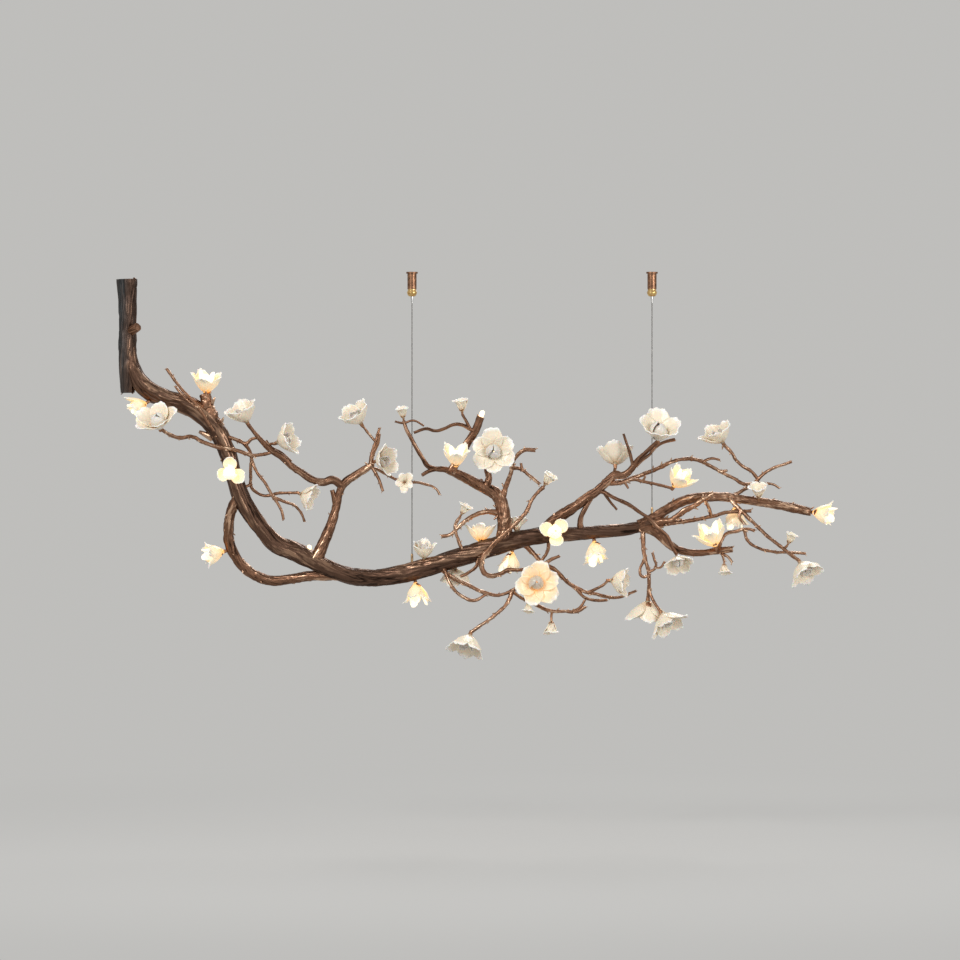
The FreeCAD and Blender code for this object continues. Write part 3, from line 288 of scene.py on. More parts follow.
# node: (end of its twig, way it opens, petal length, form), the first three as in the solids
BLOSSOMS = {
    "left_end_back_flower": [((-958, -16, -325), (-0.8, -0.25, -0.45), 52, "tulip")],
    "left_end_front_flower": [((-925, -58, -395), (-0.2, -0.62, 0.72), 62, "bowl")],
    "knob_flower": [((-816, -14, -308), (0.1, -0.3, 0.95), 60, "tulip")],
    "left_upright_flower": [((-708, -26, -382), (-0.4, -0.3, 0.87), 62, "cup")],
    "left_side_flower": [((-642, -10, -429), (0.88, -0.3, 0.35), 60, "cup")],
    "inner_left_flower": [((-585, -6, -552), (0.8, -0.25, -0.35), 50, "cup")],
    "loop_flower": [((-766, 28, -698), (-0.9, -0.25, -0.15), 56, "bell")],
    "arch_top_flower": [((-424, -15, -384), (-0.5, -0.4, 0.78), 60, "cup")],
    "arch_side_flower": [((-393, -12, -474), (0.8, -0.55, 0.1), 54, "cup")],
    "stub_root_flower": [((-190, -33, -492), (0.02, -0.4, 0.9), 60, "tulip")],
    "crown_flower": [((-95, 12, -450), (0, -0.98, 0.02), 58, "open")],
    "trunk_top_flower": [((-270, -14, -722), (0.02, -0.3, 0.95), 50, "tulip")],
    "trunk_back_flower": [((-128, 14, -682), (0, 0.1, 0.97), 54, "tulip")],
    "under_left_flower": [((-192, 16, -734), (0, 0.45, -0.9), 48, "cup")],
    "under_left_lit_flower": [((-292, 0, -771), (0.1, -0.3, -0.95), 56, "bell")],
    "under_middle_flower": [((-48, 12, -693), (-0.25, 0.1, -0.95), 54, "bell")],
    "under_big_flower": [((10, -4, -780), (0.03, -0.97, 0.08), 58, "open")],
    "lowest_flower": [((-153, -27, -900), (-0.25, -0.35, -0.9), 64, "cup")],
    "under_right_lit_flower": [((155, 0, -668), (0.12, -0.35, -0.93), 58, "bell")],
    "under_right_side_flower": [((190, -10, -771), (0.95, -0.25, -0.05), 56, "cup")],
    "fork_back_flower": [((208, -5, -488), (0, 0.45, 0.9), 60, "cup")],
    "fork_top_flower": [((312, -60, -424), (0.08, -0.6, 0.8), 70, "bowl")],
    "thorn_twig_flower": [((350, -31, -541), (0.42, -0.45, 0.75), 60, "tulip")],
    "right_upright_flower": [((480, 3, -432), (-0.45, -0.3, 0.83), 58, "cup")],
    "right_end_flower": [((698, 20, -600), (0.9, -0.35, -0.15), 56, "bell")],
    "low_arm_flower": [((458, -38, -690), (-0.3, -0.35, 0.88), 64, "tulip")],
    "hanging_lit_flower": [((510, 28, -582), (-0.05, 0.2, -0.95), 52, "bell")],
    "far_low_flower": [((664, -28, -720), (0.5, -0.4, -0.75), 60, "cup")],
    "low_front_flower": [((360, -30, -705), (0.1, -0.6, -0.8), 44, "bowl")],
    "twin_flowers": [
        ((290, 0, -815), (0, 0.1, -0.99), 66, "cup"),
        ((320, -28, -848), (0.45, -0.4, -0.8), 64, "cup"),
    ],
    "trunk_front_flowers": [
        ((-755, -20, -502), (0.05, -1, 0.1), 44, "lobe"),
        ((55, -16, -652), (0.05, -1, 0.1), 44, "lobe"),
    ],
    "small_blossoms": [
        ((-318, -19, -526), (0, -1, 0.05), 26, "star"),
        ((-320, -26, -372), (-0.15, -0.2, 0.97), 32, "trumpet"),
        ((-174, -8, -356), (-0.1, -0.2, 0.97), 36, "trumpet"),
        ((28, -14, -538), (0.5, -0.2, 0.8), 36, "trumpet"),
        ((-179, -11, -611), (0.45, -0.2, 0.85), 30, "trumpet"),
        ((-38, 14, -655), (0, 0.5, 0.85), 38, "trumpet"),
        ((-8, -20, -820), (-0.1, -0.3, -0.93), 28, "trumpet"),
        ((48, -19, -865), (0, -0.2, -0.98), 36, "trumpet"),
        ((568, 14, -571), (-0.05, -0.4, 0.9), 38, "trumpet"),
        ((636, -24, -684), (0.4, -0.2, 0.88), 32, "trumpet"),
        ((479, -20, -722), (0, -0.3, -0.95), 30, "trumpet"),
    ],
}
# how far round its axis a flower's first petal stands, in degrees, where the form shows it
TURNS = {"trunk_front_flowers": (92, 45)}
GREY_HEARTED = {"under_big_flower"}
LIT_BLOSSOMS = {
    "left_end_back_flower", "knob_flower", "trunk_front_flowers", "loop_flower", "stub_root_flower",
    "trunk_back_flower", "under_left_lit_flower", "under_middle_flower", "under_big_flower",
    "under_right_lit_flower", "thorn_twig_flower", "right_end_flower", "low_arm_flower",
    "hanging_lit_flower",
}

# shares of a petal's length: the heart's radius, where the petal is widest, where its rim starts to curl
HEART_RADIUS, SHOULDER, BEND = 0.10, 0.6, 0.62
FOOT_WIDTH = 0.42  # of the width at the shoulder
FOLDS = 2.6  # half waves of the rim, from its middle to either side
PETAL_CELLS = 16
PETAL_THICKNESS, SEAM = 0.0017, 0.00002  # metres
STALK_GAP, CALYX_DEPTH = 6.0, 16.0

# ---------------- the suspension

SIDES = {"left": -300.0, "right": 300.0}
ROPE_FEET = {"left": -716.0, "right": -600.0}
ROPE_TOP, TAIL_TOP, ROPE_BEND = -90.0, -24.0, 35.0
ROPE_DIAMETER, LAY_LENGTH = 2.5, 17.0
STRAND_DEPTH = 0.22
SPRING_WIRE, SPRING_RADIUS, SPRING_TURNS, SPRING_STEPS = 0.9, 3.0, 5, 24
SPRING_FOOT, SPRING_TOP = -49.8, -33.6
DRESSED_SOLIDS = {
    "anchor_cups": "cup_brass", "gripper_bodies": "grip_brass", "left_release_nozzle": "nickel",
    "right_release_nozzle": "nickel", "left_clamp_balls": "steel", "right_clamp_balls": "steel",
    "cable_ferrules": "ferrule_bronze", "led_lamps": "frosted_lamp",
}

# ---------------- the set, in metres and watts

BACKDROP, AMBIENT = (0.52, 0.515, 0.50), (0.50, 0.50, 0.50)
FLOOR_HEIGHT, FLOOR_RADIUS, FLOOR_SIDES = -1.42, 4.5, 96
FADE_START, FADE_END = 0.5, 2.7
LIGHT_AIM = Vector((-0.1, 0, -0.5))
# light: (place, diameter, power)
LIGHTS = {
    "key": ((-3.0, -4.0, 2.2), 2.4, 165),
    "fill": ((3.4, -3.6, 0.4), 2.6, 85),
    "rim": ((0.8, 3.2, 2.0), 2.0, 60),
}
CAMERA_PLACE = (-0.130, -10.0, -0.520)
PICTURE_WIDTH, CAMERA_LENS = 2.4, 150.0

# ---------------- nodes


class Field:
    """A node's output that plain arithmetic works on; each step adds a math node to its tree."""

    def __init__(self, tree, socket):
        self.tree, self.socket = tree, socket

    def other(self, name):
        """Another output of the same node."""
        return Field(self.tree, self.socket.node.outputs[name])

    def math(self, operation, *others):
        """This field and others through a math node, or a vector math node if this is a vector."""
        kind = "ShaderNodeVectorMath" if self.socket.type in ("VECTOR", "RGBA") else "ShaderNodeMath"
        return out(self.tree, kind, dict(enumerate((self, *others))), operation=operation)

    def scaled(self, factor):
        """A vector times a number."""
        return out(self.tree, "ShaderNodeVectorMath", {0: self}, Scale=factor, operation="SCALE")

    def __add__(self, other):
        return self.math("ADD", other)

    def __sub__(self, other):
        return self.math("SUBTRACT", other)

    def __mul__(self, other):
        return self.math("MULTIPLY", other)

    def __truediv__(self, other):
        return self.math("DIVIDE", other)

    def __rtruediv__(self, other):
        return out(self.tree, "ShaderNodeMath", {0: other, 1: self}, operation="DIVIDE")

    def __mod__(self, other):
        return self.math("MODULO", other)

    def __pow__(self, other):
        return self.math("POWER", other)

    def __abs__(self):
        return self.math("ABSOLUTE")


def spaced(label):
    """A socket's name, from the keyword that stands for it."""
    return label.replace("_", " ")


def feed(node, **fields):
    """Link fields to a node's inputs, given as Name=field with _ for a space."""
    for label, field in fields.items():
        field.tree.links.new(field.socket, node.inputs[spaced(label)])


def add(tree, kind, numbered=None, **values):
    """A new node; a keyword in small letters is a setting, any other is an input, as in feed."""
    node = tree.nodes.new(kind)
    inputs = dict(numbered or {})
    for name, value in values.items():
        if name.islower():
            setattr(node, name, value)
        else:
            inputs[spaced(name)] = value
    for socket, value in inputs.items():
        if isinstance(value, Field):
            tree.links.new(value.socket, node.inputs[socket])
        else:
            node.inputs[socket].default_value = value
    return node


def out(tree, kind, numbered=None, output=0, **values):
    """One output of a new node."""
    return Field(tree, add(tree, kind, numbered, **values).outputs[output])


def noise(place, scale, seed=0.0, detail=2.0, output="Fac"):
    return out(place.tree, "ShaderNodeTexNoise", None, output, Vector=place, W=seed, Scale=scale,
               Detail=detail, noise_dimensions="4D")


def remap(value, low, high, new_low=0.0, new_high=1.0):
    return out(value.tree, "ShaderNodeMapRange", Value=value, From_Min=low, From_Max=high,
               To_Min=new_low, To_Max=new_high, interpolation_type="SMOOTHSTEP")


def xyz(tree, **parts):
    return out(tree, "ShaderNodeCombineXYZ", **parts)


def separate(vector):
    """A vector's X; its Y and Z are the same node's other outputs."""
    return out(vector.tree, "ShaderNodeSeparateXYZ", {0: vector})


def stretched(place, *scale):
    return out(place.tree, "ShaderNodeMapping", Vector=place, Scale=scale)


def geometry_tree(name, **inputs):
    """A new geometry tree and its inputs, which are given as Name="Float" and so on."""
    tree = bpy.data.node_groups.new(name, "GeometryNodeTree")
    tree.interface.new_socket("Geometry", in_out="OUTPUT", socket_type="NodeSocketGeometry")
    inputs = {"Geometry": "Geometry", **inputs}
    for label, kind in inputs.items():
        tree.interface.new_socket(spaced(label), in_out="INPUT", socket_type="NodeSocket" + kind)
    sockets = tree.nodes.new("NodeGroupInput").outputs
    return tree, {label: Field(tree, sockets[spaced(label)]) for label in inputs}


def end_tree(geometry, material, flat=False):
    """Close a tree with real faces, smooth shading (but for flat faces) and one material."""
    tree = geometry.tree
    real = out(tree, "GeometryNodeRealizeInstances", Geometry=geometry)
    smooth = out(tree, "GeometryNodeSetShadeSmooth", Geometry=real)
    smooth = out(tree, "GeometryNodeSetShadeSmooth", Geometry=smooth, Selection=flat, Shade_Smooth=False)
    dressed = out(tree, "GeometryNodeSetMaterial", Geometry=smooth, Material=material)
    feed(tree.nodes.new("NodeGroupOutput"), Geometry=dressed)
    return tree


def named(tree, name, kind="FLOAT"):
    return out(tree, "GeometryNodeInputNamedAttribute", Name=name, data_type=kind)


def stored(geometry, name, value, kind="FLOAT", domain="POINT"):
    return out(geometry.tree, "GeometryNodeStoreNamedAttribute", Geometry=geometry, Name=name,
               Value=value, data_type=kind, domain=domain)


def random_between(low, high, seed):
    return out(seed.tree, "FunctionNodeRandomValue", {2: low, 3: high}, 1, Seed=seed, data_type="FLOAT")


def moved(geometry, offset):
    return out(geometry.tree, "GeometryNodeSetPosition", Geometry=geometry, Offset=offset)


def transformed(geometry, **values):
    return out(geometry.tree, "GeometryNodeTransform", Geometry=geometry, **values)


def resampled(curve, step):
    return out(curve.tree, "GeometryNodeResampleCurve", Curve=curve, Length=step, mode="LENGTH")


def swept(curve, profile, scale):
    return out(curve.tree, "GeometryNodeCurveToMesh", Curve=curve, Profile_Curve=profile, Scale=scale,
               Fill_Caps=True)


def cone(tree, sides, rings, top, bottom, height):
    return out(tree, "GeometryNodeMeshCone", Vertices=sides, Side_Segments=rings, Radius_Top=top,
               Radius_Bottom=bottom, Depth=height)


def aligned(way):
    """The turn that brings Z to a direction."""
    return out(way.tree, "FunctionNodeAlignRotationToVector", Vector=way, axis="Z")


def leaned(lean, azimuth):
    """The turn that leans a shape by one angle and then takes it round Z by another."""
    return out(lean.tree, "FunctionNodeEulerToRotation", {0: xyz(lean.tree, Y=lean, Z=azimuth)})


def planted(points, shape, turn, size):
    """Copies of a shape on points."""
    return out(points.tree, "GeometryNodeInstanceOnPoints", Points=points, Instance=shape, Rotation=turn,
               Scale=size)


def together(*parts):
    """One geometry from several."""
    node = parts[0].tree.nodes.new("GeometryNodeJoinGeometry")
    for part in parts:
        feed(node, Geometry=part)
    return Field(parts[0].tree, node.outputs[0])


def marked_as_bark(geometry, ridge):
    """Leave the marks that bark's colours are made from on a shape that isn't a limb."""
    place = out(geometry.tree, "GeometryNodeInputPosition")
    return stored(stored(geometry, "bark", place, "FLOAT_VECTOR"), "ridge", ridge)


# ---------------- objects and meshes


def shown(name, data):
    piece = bpy.data.objects.new(name, data)
    bpy.context.scene.collection.objects.link(piece)
    return piece


def plain_mesh(name, source):
    """The evaluated source as a plain mesh; the source and its modifiers go."""
    depsgraph = bpy.context.evaluated_depsgraph_get()
    mesh = bpy.data.meshes.new_from_object(
        source.evaluated_get(depsgraph), preserve_all_data_layers=True, depsgraph=depsgraph)
    mesh.name = name
    bpy.data.objects.remove(source)
    return mesh


def grown(name, data, tree, material, **values):
    """The plain mesh that a geometry tree makes from a curve or a mesh."""
    source = shown(name, data)
    modifier = source.modifiers.new(tree.name, "NODES")
    modifier.node_group = tree
    values = {"Material": FINISHES[material], **values}
    for item in tree.interface.items_tree:
        label = item.name.replace(" ", "_")
        if item.in_out == "INPUT" and label in values:
            modifier[item.identifier] = values[label]
    return plain_mesh(name, source)


def joined(name, meshes):
    """One object from several plain meshes."""
    items = [shown(f"{name}_{index}", mesh) for index, mesh in enumerate(meshes)]
    if len(items) > 1:
        with bpy.context.temp_override(active_object=items[0], selected_editable_objects=items):
            bpy.ops.object.join()
    items[0].name = items[0].data.name = name
    return items[0]


def stands_for(node):
    """The node's solid is hidden, so that a piece made here stands for it."""
    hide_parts(node)


def placed(piece, node, body="branch"):
    """The piece rides on one body and stands for its node."""
    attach(piece, body)
    stands_for(node)


def curve_through(name, kind, points):
    """A curve with one spline, and the spline; its points are in millimetres."""
    curve = bpy.data.curves.new(name, "CURVE")
    curve.dimensions = "3D"
    spline = curve.splines.new(kind)
    spline.points.add(len(points) - 1)
    for knot, place in zip(spline.points, points):
        knot.co = (*(Vector(place) * MM), 1.0)
    return curve, spline


# ---------------- finishes


def finish(name, **values):
    """A material with its Principled shader's plain values; returns it, its tree and the shader."""
    made = bpy.data.materials.new(name)
    made.use_nodes = True
    shader = made.node_tree.nodes["Principled BSDF"]
    for label, value in values.items():
        shader.inputs[spaced(label)].default_value = value
    return made, made.node_tree, shader


def ramp(value, *stops):
    """Colours by value; each stop is (position, colour)."""
    node = add(value.tree, "ShaderNodeValToRGB", Fac=value)
    elements = node.color_ramp.elements
    while len(elements) < len(stops):
        elements.new(1.0)
    for element, (position, colour) in zip(elements, stops):
        element.position = position
        element.color = (*colour, 1.0)
    return Field(value.tree, node.outputs["Color"])


def attribute(tree, name, output="Vector"):
    return out(tree, "ShaderNodeAttribute", None, output, attribute_name=name)


def object_place(tree):
    return out(tree, "ShaderNodeTexCoord", None, "Object")


def mixed(factor, first, second):
    """Two colours blended; a plain colour is given as red, green and blue."""
    colours = [colour if isinstance(colour, Field) else (*colour, 1.0) for colour in (first, second)]
    return out(factor.tree, "ShaderNodeMix", dict(zip((6, 7), colours)), 2, Factor=factor,
               data_type="RGBA", blend_type="MIX")


def bump(shader, height, strength, distance):
    feed(shader, Normal=out(height.tree, "ShaderNodeBump", Height=height, Strength=strength,
                            Distance=distance))


def bark_bronze(name, grain, groove, body, rubbed_and_highlight, left_side_sheen=None):
    """Bronze with a bark pattern: dark in the cracks, copper on the plates, pale on the high ridges, partly
    rubbed wear and partly a painted highlight.
    """
    made, tree, shader = finish(name, Metallic=1.0)
    drawn = stretched(attribute(tree, "bark"), 1.0, 1.0, 0.055)
    patch = noise(object_place(tree), 22.0, detail=3.0)
    height = attribute(tree, "ridge", "Fac") * 0.66 + noise(drawn, grain, detail=5.0) * 0.34
    tone = height + (patch - 0.5) * 0.5
    # the last stop is the pale ridge colour: rubbed wear and a painted highlight
    colour = ramp(tone, (0.18, groove), (0.42, body), (0.62, body), (0.86, rubbed_and_highlight))
    # a patchy painted sheen of blue-grey light on the log's left side
    if left_side_sheen:
        side = separate(object_place(tree)) - LOG_AXIS * MM
        colour = mixed(remap(side, 0.012, -0.022, 0.0, 0.9) * patch, colour, left_side_sheen)
    feed(shader, Base_Color=colour, Roughness=remap(height, 0.25, 0.75, 0.60, 0.34))
    bump(shader, noise(drawn, grain * 1.7, detail=7.0), 0.5, 0.0008)
    return made


def porcelain(name, root, body, rim, inside, glow=None):
    """Thin glazed petal, coloured from root to rim; its root colour is painted shade down in the flower, and
    on a lit petal painted warm lamplight; a lit one glows from its root outward.
    """
    made, tree, shader = finish(
        name, Roughness=0.36, Coat_Weight=0.2, Coat_Roughness=0.18, Subsurface_Weight=0.1,
        Subsurface_Scale=0.004)
    petal = attribute(tree, "petal")
    along = separate(petal)
    inner = along.other("Z")
    veins = noise(stretched(petal, 0.9, 7.0, 1.0), 2.4, detail=4.0)
    cloud = noise(object_place(tree), 55.0, detail=3.0)
    wavering = along + (veins - 0.5) * 0.26 + (cloud - 0.5) * 0.25
    # the root stop is painted shade in the flower's heart; in the lit finishes it is painted warm lamplight
    shade = ramp(wavering, (0.02, root), (0.34, body), (0.80, body), (0.97, rim))
    feed(shader, Base_Color=mixed(inner * 0.8, shade, inside))
    bump(shader, veins, 0.45, 0.0011)
    if glow:
        light = ramp(wavering, (0.0, glow[0]), (0.34, glow[1]), (0.72, glow[2]), (1.0, (0, 0, 0)))
        feed(shader, Emission_Color=mixed(inner, light, glow[3]))
        shader.inputs["Emission Strength"].default_value = 1.0
    return made


def turned_metal(name, roughness, colour, dark):
    """Metal turned on a lathe: fine rings, a little tarnish."""
    made, tree, shader = finish(name, Metallic=1.0)
    place = object_place(tree)
    rings = noise(stretched(place, 0.02, 0.02, 1.0), 1800.0, detail=3.0)
    tarnish = noise(place, 140.0, detail=4.0)
    feed(shader, Base_Color=mixed(remap(rings * 0.35 + tarnish * 0.65, 0.35, 0.62), dark, colour),
         Roughness=remap(tarnish, 0.3, 0.7, roughness + 0.10, roughness))
    bump(shader, rings, 0.25, 0.0002)
    return made


def frosted_lamp(name):
    """The lamps' domes, lit from within."""
    made, tree, shader = finish(name, Roughness=0.45, Emission_Strength=1.6)
    grain = noise(object_place(tree), 900.0, detail=2.0)
    glow = ramp(grain, (0.3, (1.0, 0.72, 0.38)), (0.7, (1.0, 0.84, 0.56)))
    feed(shader, Emission_Color=glow, Base_Color=glow)
    bump(shader, grain, 0.2, 0.0002)
    return made


# glow of a lit petal: at its root, at a third, towards its rim, and on the inner petals
CREAM_GLOW = ((0.85, 0.34, 0.05), (0.42, 0.24, 0.08), (0.18, 0.14, 0.08), (0.62, 0.52, 0.34))
WARM_GLOW = ((0.45, 0.17, 0.03), (0.24, 0.12, 0.04), (0.14, 0.09, 0.04), (0.05, 0.04, 0.03))
FINISHES = {name: kind(name, *values) for kind, name, *values in (
    # bark bronzes: grain scale, then the colours of the cracks, the plates and the pale ridges, which are
    # partly painted highlight
    (bark_bronze, "dark_bronze", 240.0, (0.018, 0.011, 0.008), (0.125, 0.070, 0.047), (0.40, 0.245, 0.16)),
    # the log's last colour is a painted blue-grey sheen on its left side
    (bark_bronze, "log_bronze", 240.0, (0.014, 0.010, 0.009), (0.085, 0.052, 0.038), (0.34, 0.20, 0.13),
     (0.060, 0.092, 0.105)),
    (bark_bronze, "copper_bronze", 400.0, (0.038, 0.019, 0.012), (0.215, 0.112, 0.068), (0.78, 0.51, 0.34)),
    (bark_bronze, "twig_bronze", 650.0, (0.065, 0.030, 0.017), (0.30, 0.160, 0.097), (0.88, 0.63, 0.44)),
    (bark_bronze, "calyx_bronze", 650.0, (0.09, 0.042, 0.022), (0.42, 0.22, 0.125), (0.80, 0.52, 0.33)),
    (porcelain, "porcelain", (0.66, 0.45, 0.26), (0.89, 0.78, 0.61), (0.95, 0.92, 0.86),
     (0.66, 0.63, 0.59)),
    (porcelain, "lit_porcelain", (0.90, 0.60, 0.25), (0.92, 0.80, 0.58), (0.95, 0.90, 0.81),
     (0.94, 0.91, 0.83), CREAM_GLOW),
    # a dimmer lit copy of porcelain: its petals glow with painted lamplight, and its inner petals are grey
    (porcelain, "warm_porcelain", (0.82, 0.44, 0.16), (0.90, 0.72, 0.48), (0.95, 0.90, 0.81),
     (0.50, 0.44, 0.38), WARM_GLOW),
    (porcelain, "heart", (0.42, 0.36, 0.24), (0.62, 0.55, 0.38), (0.72, 0.62, 0.40), (0.62, 0.55, 0.38)),
    (porcelain, "lit_heart", (0.9, 0.6, 0.25), (0.95, 0.7, 0.35), (0.95, 0.75, 0.4), (0.95, 0.7, 0.35),
     CREAM_GLOW),
    (frosted_lamp, "frosted_lamp"),
    (turned_metal, "cup_brass", 0.32, (0.36, 0.19, 0.11), (0.13, 0.065, 0.04)),
    (turned_metal, "grip_brass", 0.22, (0.86, 0.60, 0.26), (0.52, 0.31, 0.11)),
    (turned_metal, "nickel", 0.18, (0.78, 0.77, 0.75), (0.50, 0.50, 0.50)),
    (turned_metal, "steel", 0.28, (0.62, 0.63, 0.64), (0.36, 0.37, 0.38)),
    (turned_metal, "rope_steel", 0.36, (0.26, 0.245, 0.23), (0.09, 0.085, 0.08)),
    (turned_metal, "ferrule_bronze", 0.34, (0.60, 0.42, 0.24), (0.26, 0.16, 0.09)),
)}

# ---------------- limbs and twigs


def spread(values, share):
    """Value at a share of the way along a list of evenly spaced values."""
    place = share * (len(values) - 1)
    index = min(int(place), len(values) - 2)
    return values[index] + (values[index + 1] - values[index]) * (place - index)


def limb_curves(name):
    """Smooth curves through the limbs' points, with a radius at every point."""
    curve = bpy.data.curves.new(name, "CURVE")
    curve.dimensions = "3D"
    for diameters, route in LIMBS[name]:
        spline = curve.splines.new("BEZIER")
        spline.bezier_points.add(len(route) - 1)
        for index, (knot, place) in enumerate(zip(spline.bezier_points, route)):
            knot.co = Vector(place) * MM
            knot.handle_left_type = knot.handle_right_type = "AUTO"
            knot.radius = spread(diameters, index / (len(route) - 1)) / 2 * MM
    return curve


def sprouts(limbs, shape, spacing, size, seed):
    """Small shapes that lean forward out of the limbs, spaced along them."""
    tree = limbs.tree
    girth = named(tree, "girth")
    spots = out(tree, "GeometryNodeCurveToPoints", Curve=limbs, Length=spacing, mode="LENGTH")
    forward = spots.other("Tangent")
    way = out(tree, "FunctionNodeRandomValue", {0: (-1.0, -1.0, -1.0), 1: (1.0, 1.0, 1.0)}, Seed=seed,
              data_type="FLOAT_VECTOR")
    side = way.math("CROSS_PRODUCT", forward).math("NORMALIZE")
    feet = moved(spots, side.scaled(girth * SPROUT_SEAT))
    sprouted = planted(feet, shape, aligned(side + forward.scaled(SPROUT_LEAN)),
                       random_between(0.5, 1.0, seed) * (girth * size))
    return marked_as_bark(out(tree, "GeometryNodeRealizeInstances", Geometry=sprouted), SPROUT_RIDGE)


# cracks and flutes are drawn out along the limb; a crack is as wide as this level of its noise
CRACK_DRAW, FLUTE_DRAW, CRACK_WIDTH = (1.0, 1.0, 0.11), (1.0, 1.0, 0.08), 0.09
# plates' and flutes' shares of a ridge, and the height of ridge that lies on the limb's own radius
PLATE_SHARE, FLUTE_SHARE, MEAN_RIDGE = 0.38, 0.62, 0.60
# noise scales: the knots' in gnarl scales, the flutes' in crack scales
KNOT_SCALE, FLUTE_SCALE = 2.4, 0.45
# how much of a point's place goes into its bark coordinate, so that no two limbs match
BARK_DRIFT = 0.12


def bark_tree():
    """Curves with radii in; limbs out, with cracked bark, collars at their roots, buds and thorns."""
    inputs = {label: "Float" for label in TRUNK_DRESS}
    inputs.update(Ring_Points="Int", Seed="Int", Material="Material")
    tree, given = geometry_tree("bark_limb", **inputs)
    seed, gnarl_scale, crack_scale = given["Seed"], given["Gnarl_Scale"], given["Crack_Scale"]
    radius = out(tree, "GeometryNodeInputRadius")
    place = out(tree, "GeometryNodeInputPosition")
    share_along = out(tree, "GeometryNodeSplineParameter", None, "Factor")
    along = share_along.other("Length")
    limbs = resampled(given["Geometry"], given["Step"])

    # the limb wanders a little between its ends, swells and narrows, and flares at its root
    wander = noise(place, gnarl_scale, seed, 3.0, "Color") - (0.5, 0.5, 0.5)
    held = (share_along * math.pi).math("SINE")
    limbs = moved(limbs, wander.scaled(radius * given["Gnarl"] * held))
    swell = (noise(place, gnarl_scale * KNOT_SCALE, seed, 3.0) - 0.5) * given["Swell"] * 2.0
    root = (along / (radius * -COLLAR_REACH)).math("EXPONENT")
    limbs = out(tree, "GeometryNodeSetCurveRadius", Curve=limbs,
                Radius=radius * (swell + 1.0 + root * given["Collar"]))
    limbs = out(tree, "GeometryNodeSetCurveTilt", Curve=limbs, Tilt=along * given["Twist"])
    limbs = stored(stored(limbs, "along", along), "girth", radius)
    limbs = stored(limbs, "core", place, "FLOAT_VECTOR")

    # a point's bark coordinate: round the limb and along it, in metres
    ring = out(tree, "GeometryNodeCurvePrimitiveCircle", Resolution=given["Ring_Points"], Radius=1.0)
    skin = swept(limbs, stored(ring, "round", place, "FLOAT_VECTOR"), radius)
    girth = named(tree, "girth")
    bark = named(tree, "round", "FLOAT_VECTOR").scaled(girth) + xyz(tree, Z=named(tree, "along"))
    skin = stored(skin, "bark", bark + place.scaled(BARK_DRIFT), "FLOAT_VECTOR")

    # long flutes, with cracks between raised plates
    around = named(tree, "bark", "FLOAT_VECTOR")
    crack = abs(noise(around * CRACK_DRAW, crack_scale, seed, 2.0) - 0.5)
    flute = noise(around * FLUTE_DRAW, crack_scale * FLUTE_SCALE, seed, 3.0)
    ridge = remap(crack, 0.0, CRACK_WIDTH) * PLATE_SHARE + remap(flute, 0.3, 0.7) * FLUTE_SHARE
    skin = stored(skin, "ridge", ridge)
    outward = (place - named(tree, "core", "FLOAT_VECTOR")).math("NORMALIZE")
    skin = moved(skin, outward.scaled((ridge - MEAN_RIDGE) * (girth * given["Ridge_Depth"] * 2.0)))

    # leaf buds and short thorns stand on the limbs
    bead = out(tree, "GeometryNodeMeshUVSphere", Segments=8, Rings=5, Radius=1.0)
    bead = transformed(bead, Scale=(0.75, 0.75, 1.25))
    thorn = cone(tree, 8, 3, 0.24, 0.62, 2.2)
    buds = sprouts(limbs, bead, given["Bud_Spacing"], given["Bud_Size"], seed)
    thorns = sprouts(limbs, thorn, given["Thorn_Spacing"], given["Thorn_Size"], seed + 7.0)
    return end_tree(together(skin, buds, thorns), given["Material"])


BARK = bark_tree()


def bark_mesh(name, dress, material, seed):
    return grown(name, limb_curves(name), BARK, material, Seed=seed, **dress)


def dressed_limbs(node, dress, slot, seed):
    """Bark-covered limbs that stand for one of the solids."""
    placed(shown(node + "_bark", bark_mesh(node, dress, slot, seed)), node)


def bored_log():
    """The upright trunk, with the bore for the supply lead in its sawn top, and the knot on its side."""
    node, knot = "upright_trunk", "upright_trunk_knot"
    log = shown("log", bark_mesh(node, TRUNK_DRESS, "log_bronze", 3))
    drill = shown("drill", bpy.data.meshes.new("drill"))
    cutter = bmesh.new()
    bmesh.ops.create_cone(
        cutter, cap_ends=True, segments=32, radius1=BORE_RADIUS * MM, radius2=BORE_RADIUS * MM,
        depth=2 * BORE_DEPTH * MM, matrix=Matrix.Translation(Vector((LOG_AXIS, 0, LOG_TOP)) * MM))
    cutter.to_mesh(drill.data)
    cutter.free()
    cut = log.modifiers.new("bore", "BOOLEAN")
    cut.operation, cut.object, cut.use_self = "DIFFERENCE", drill, True
    placed(shown(node + "_bark", plain_mesh(node, log)), node)
    bpy.data.objects.remove(drill)
    placed(shown(knot, bark_mesh(knot, TRUNK_DRESS, "twig_bronze", 5)), node)


# ---------------- petals and hearts


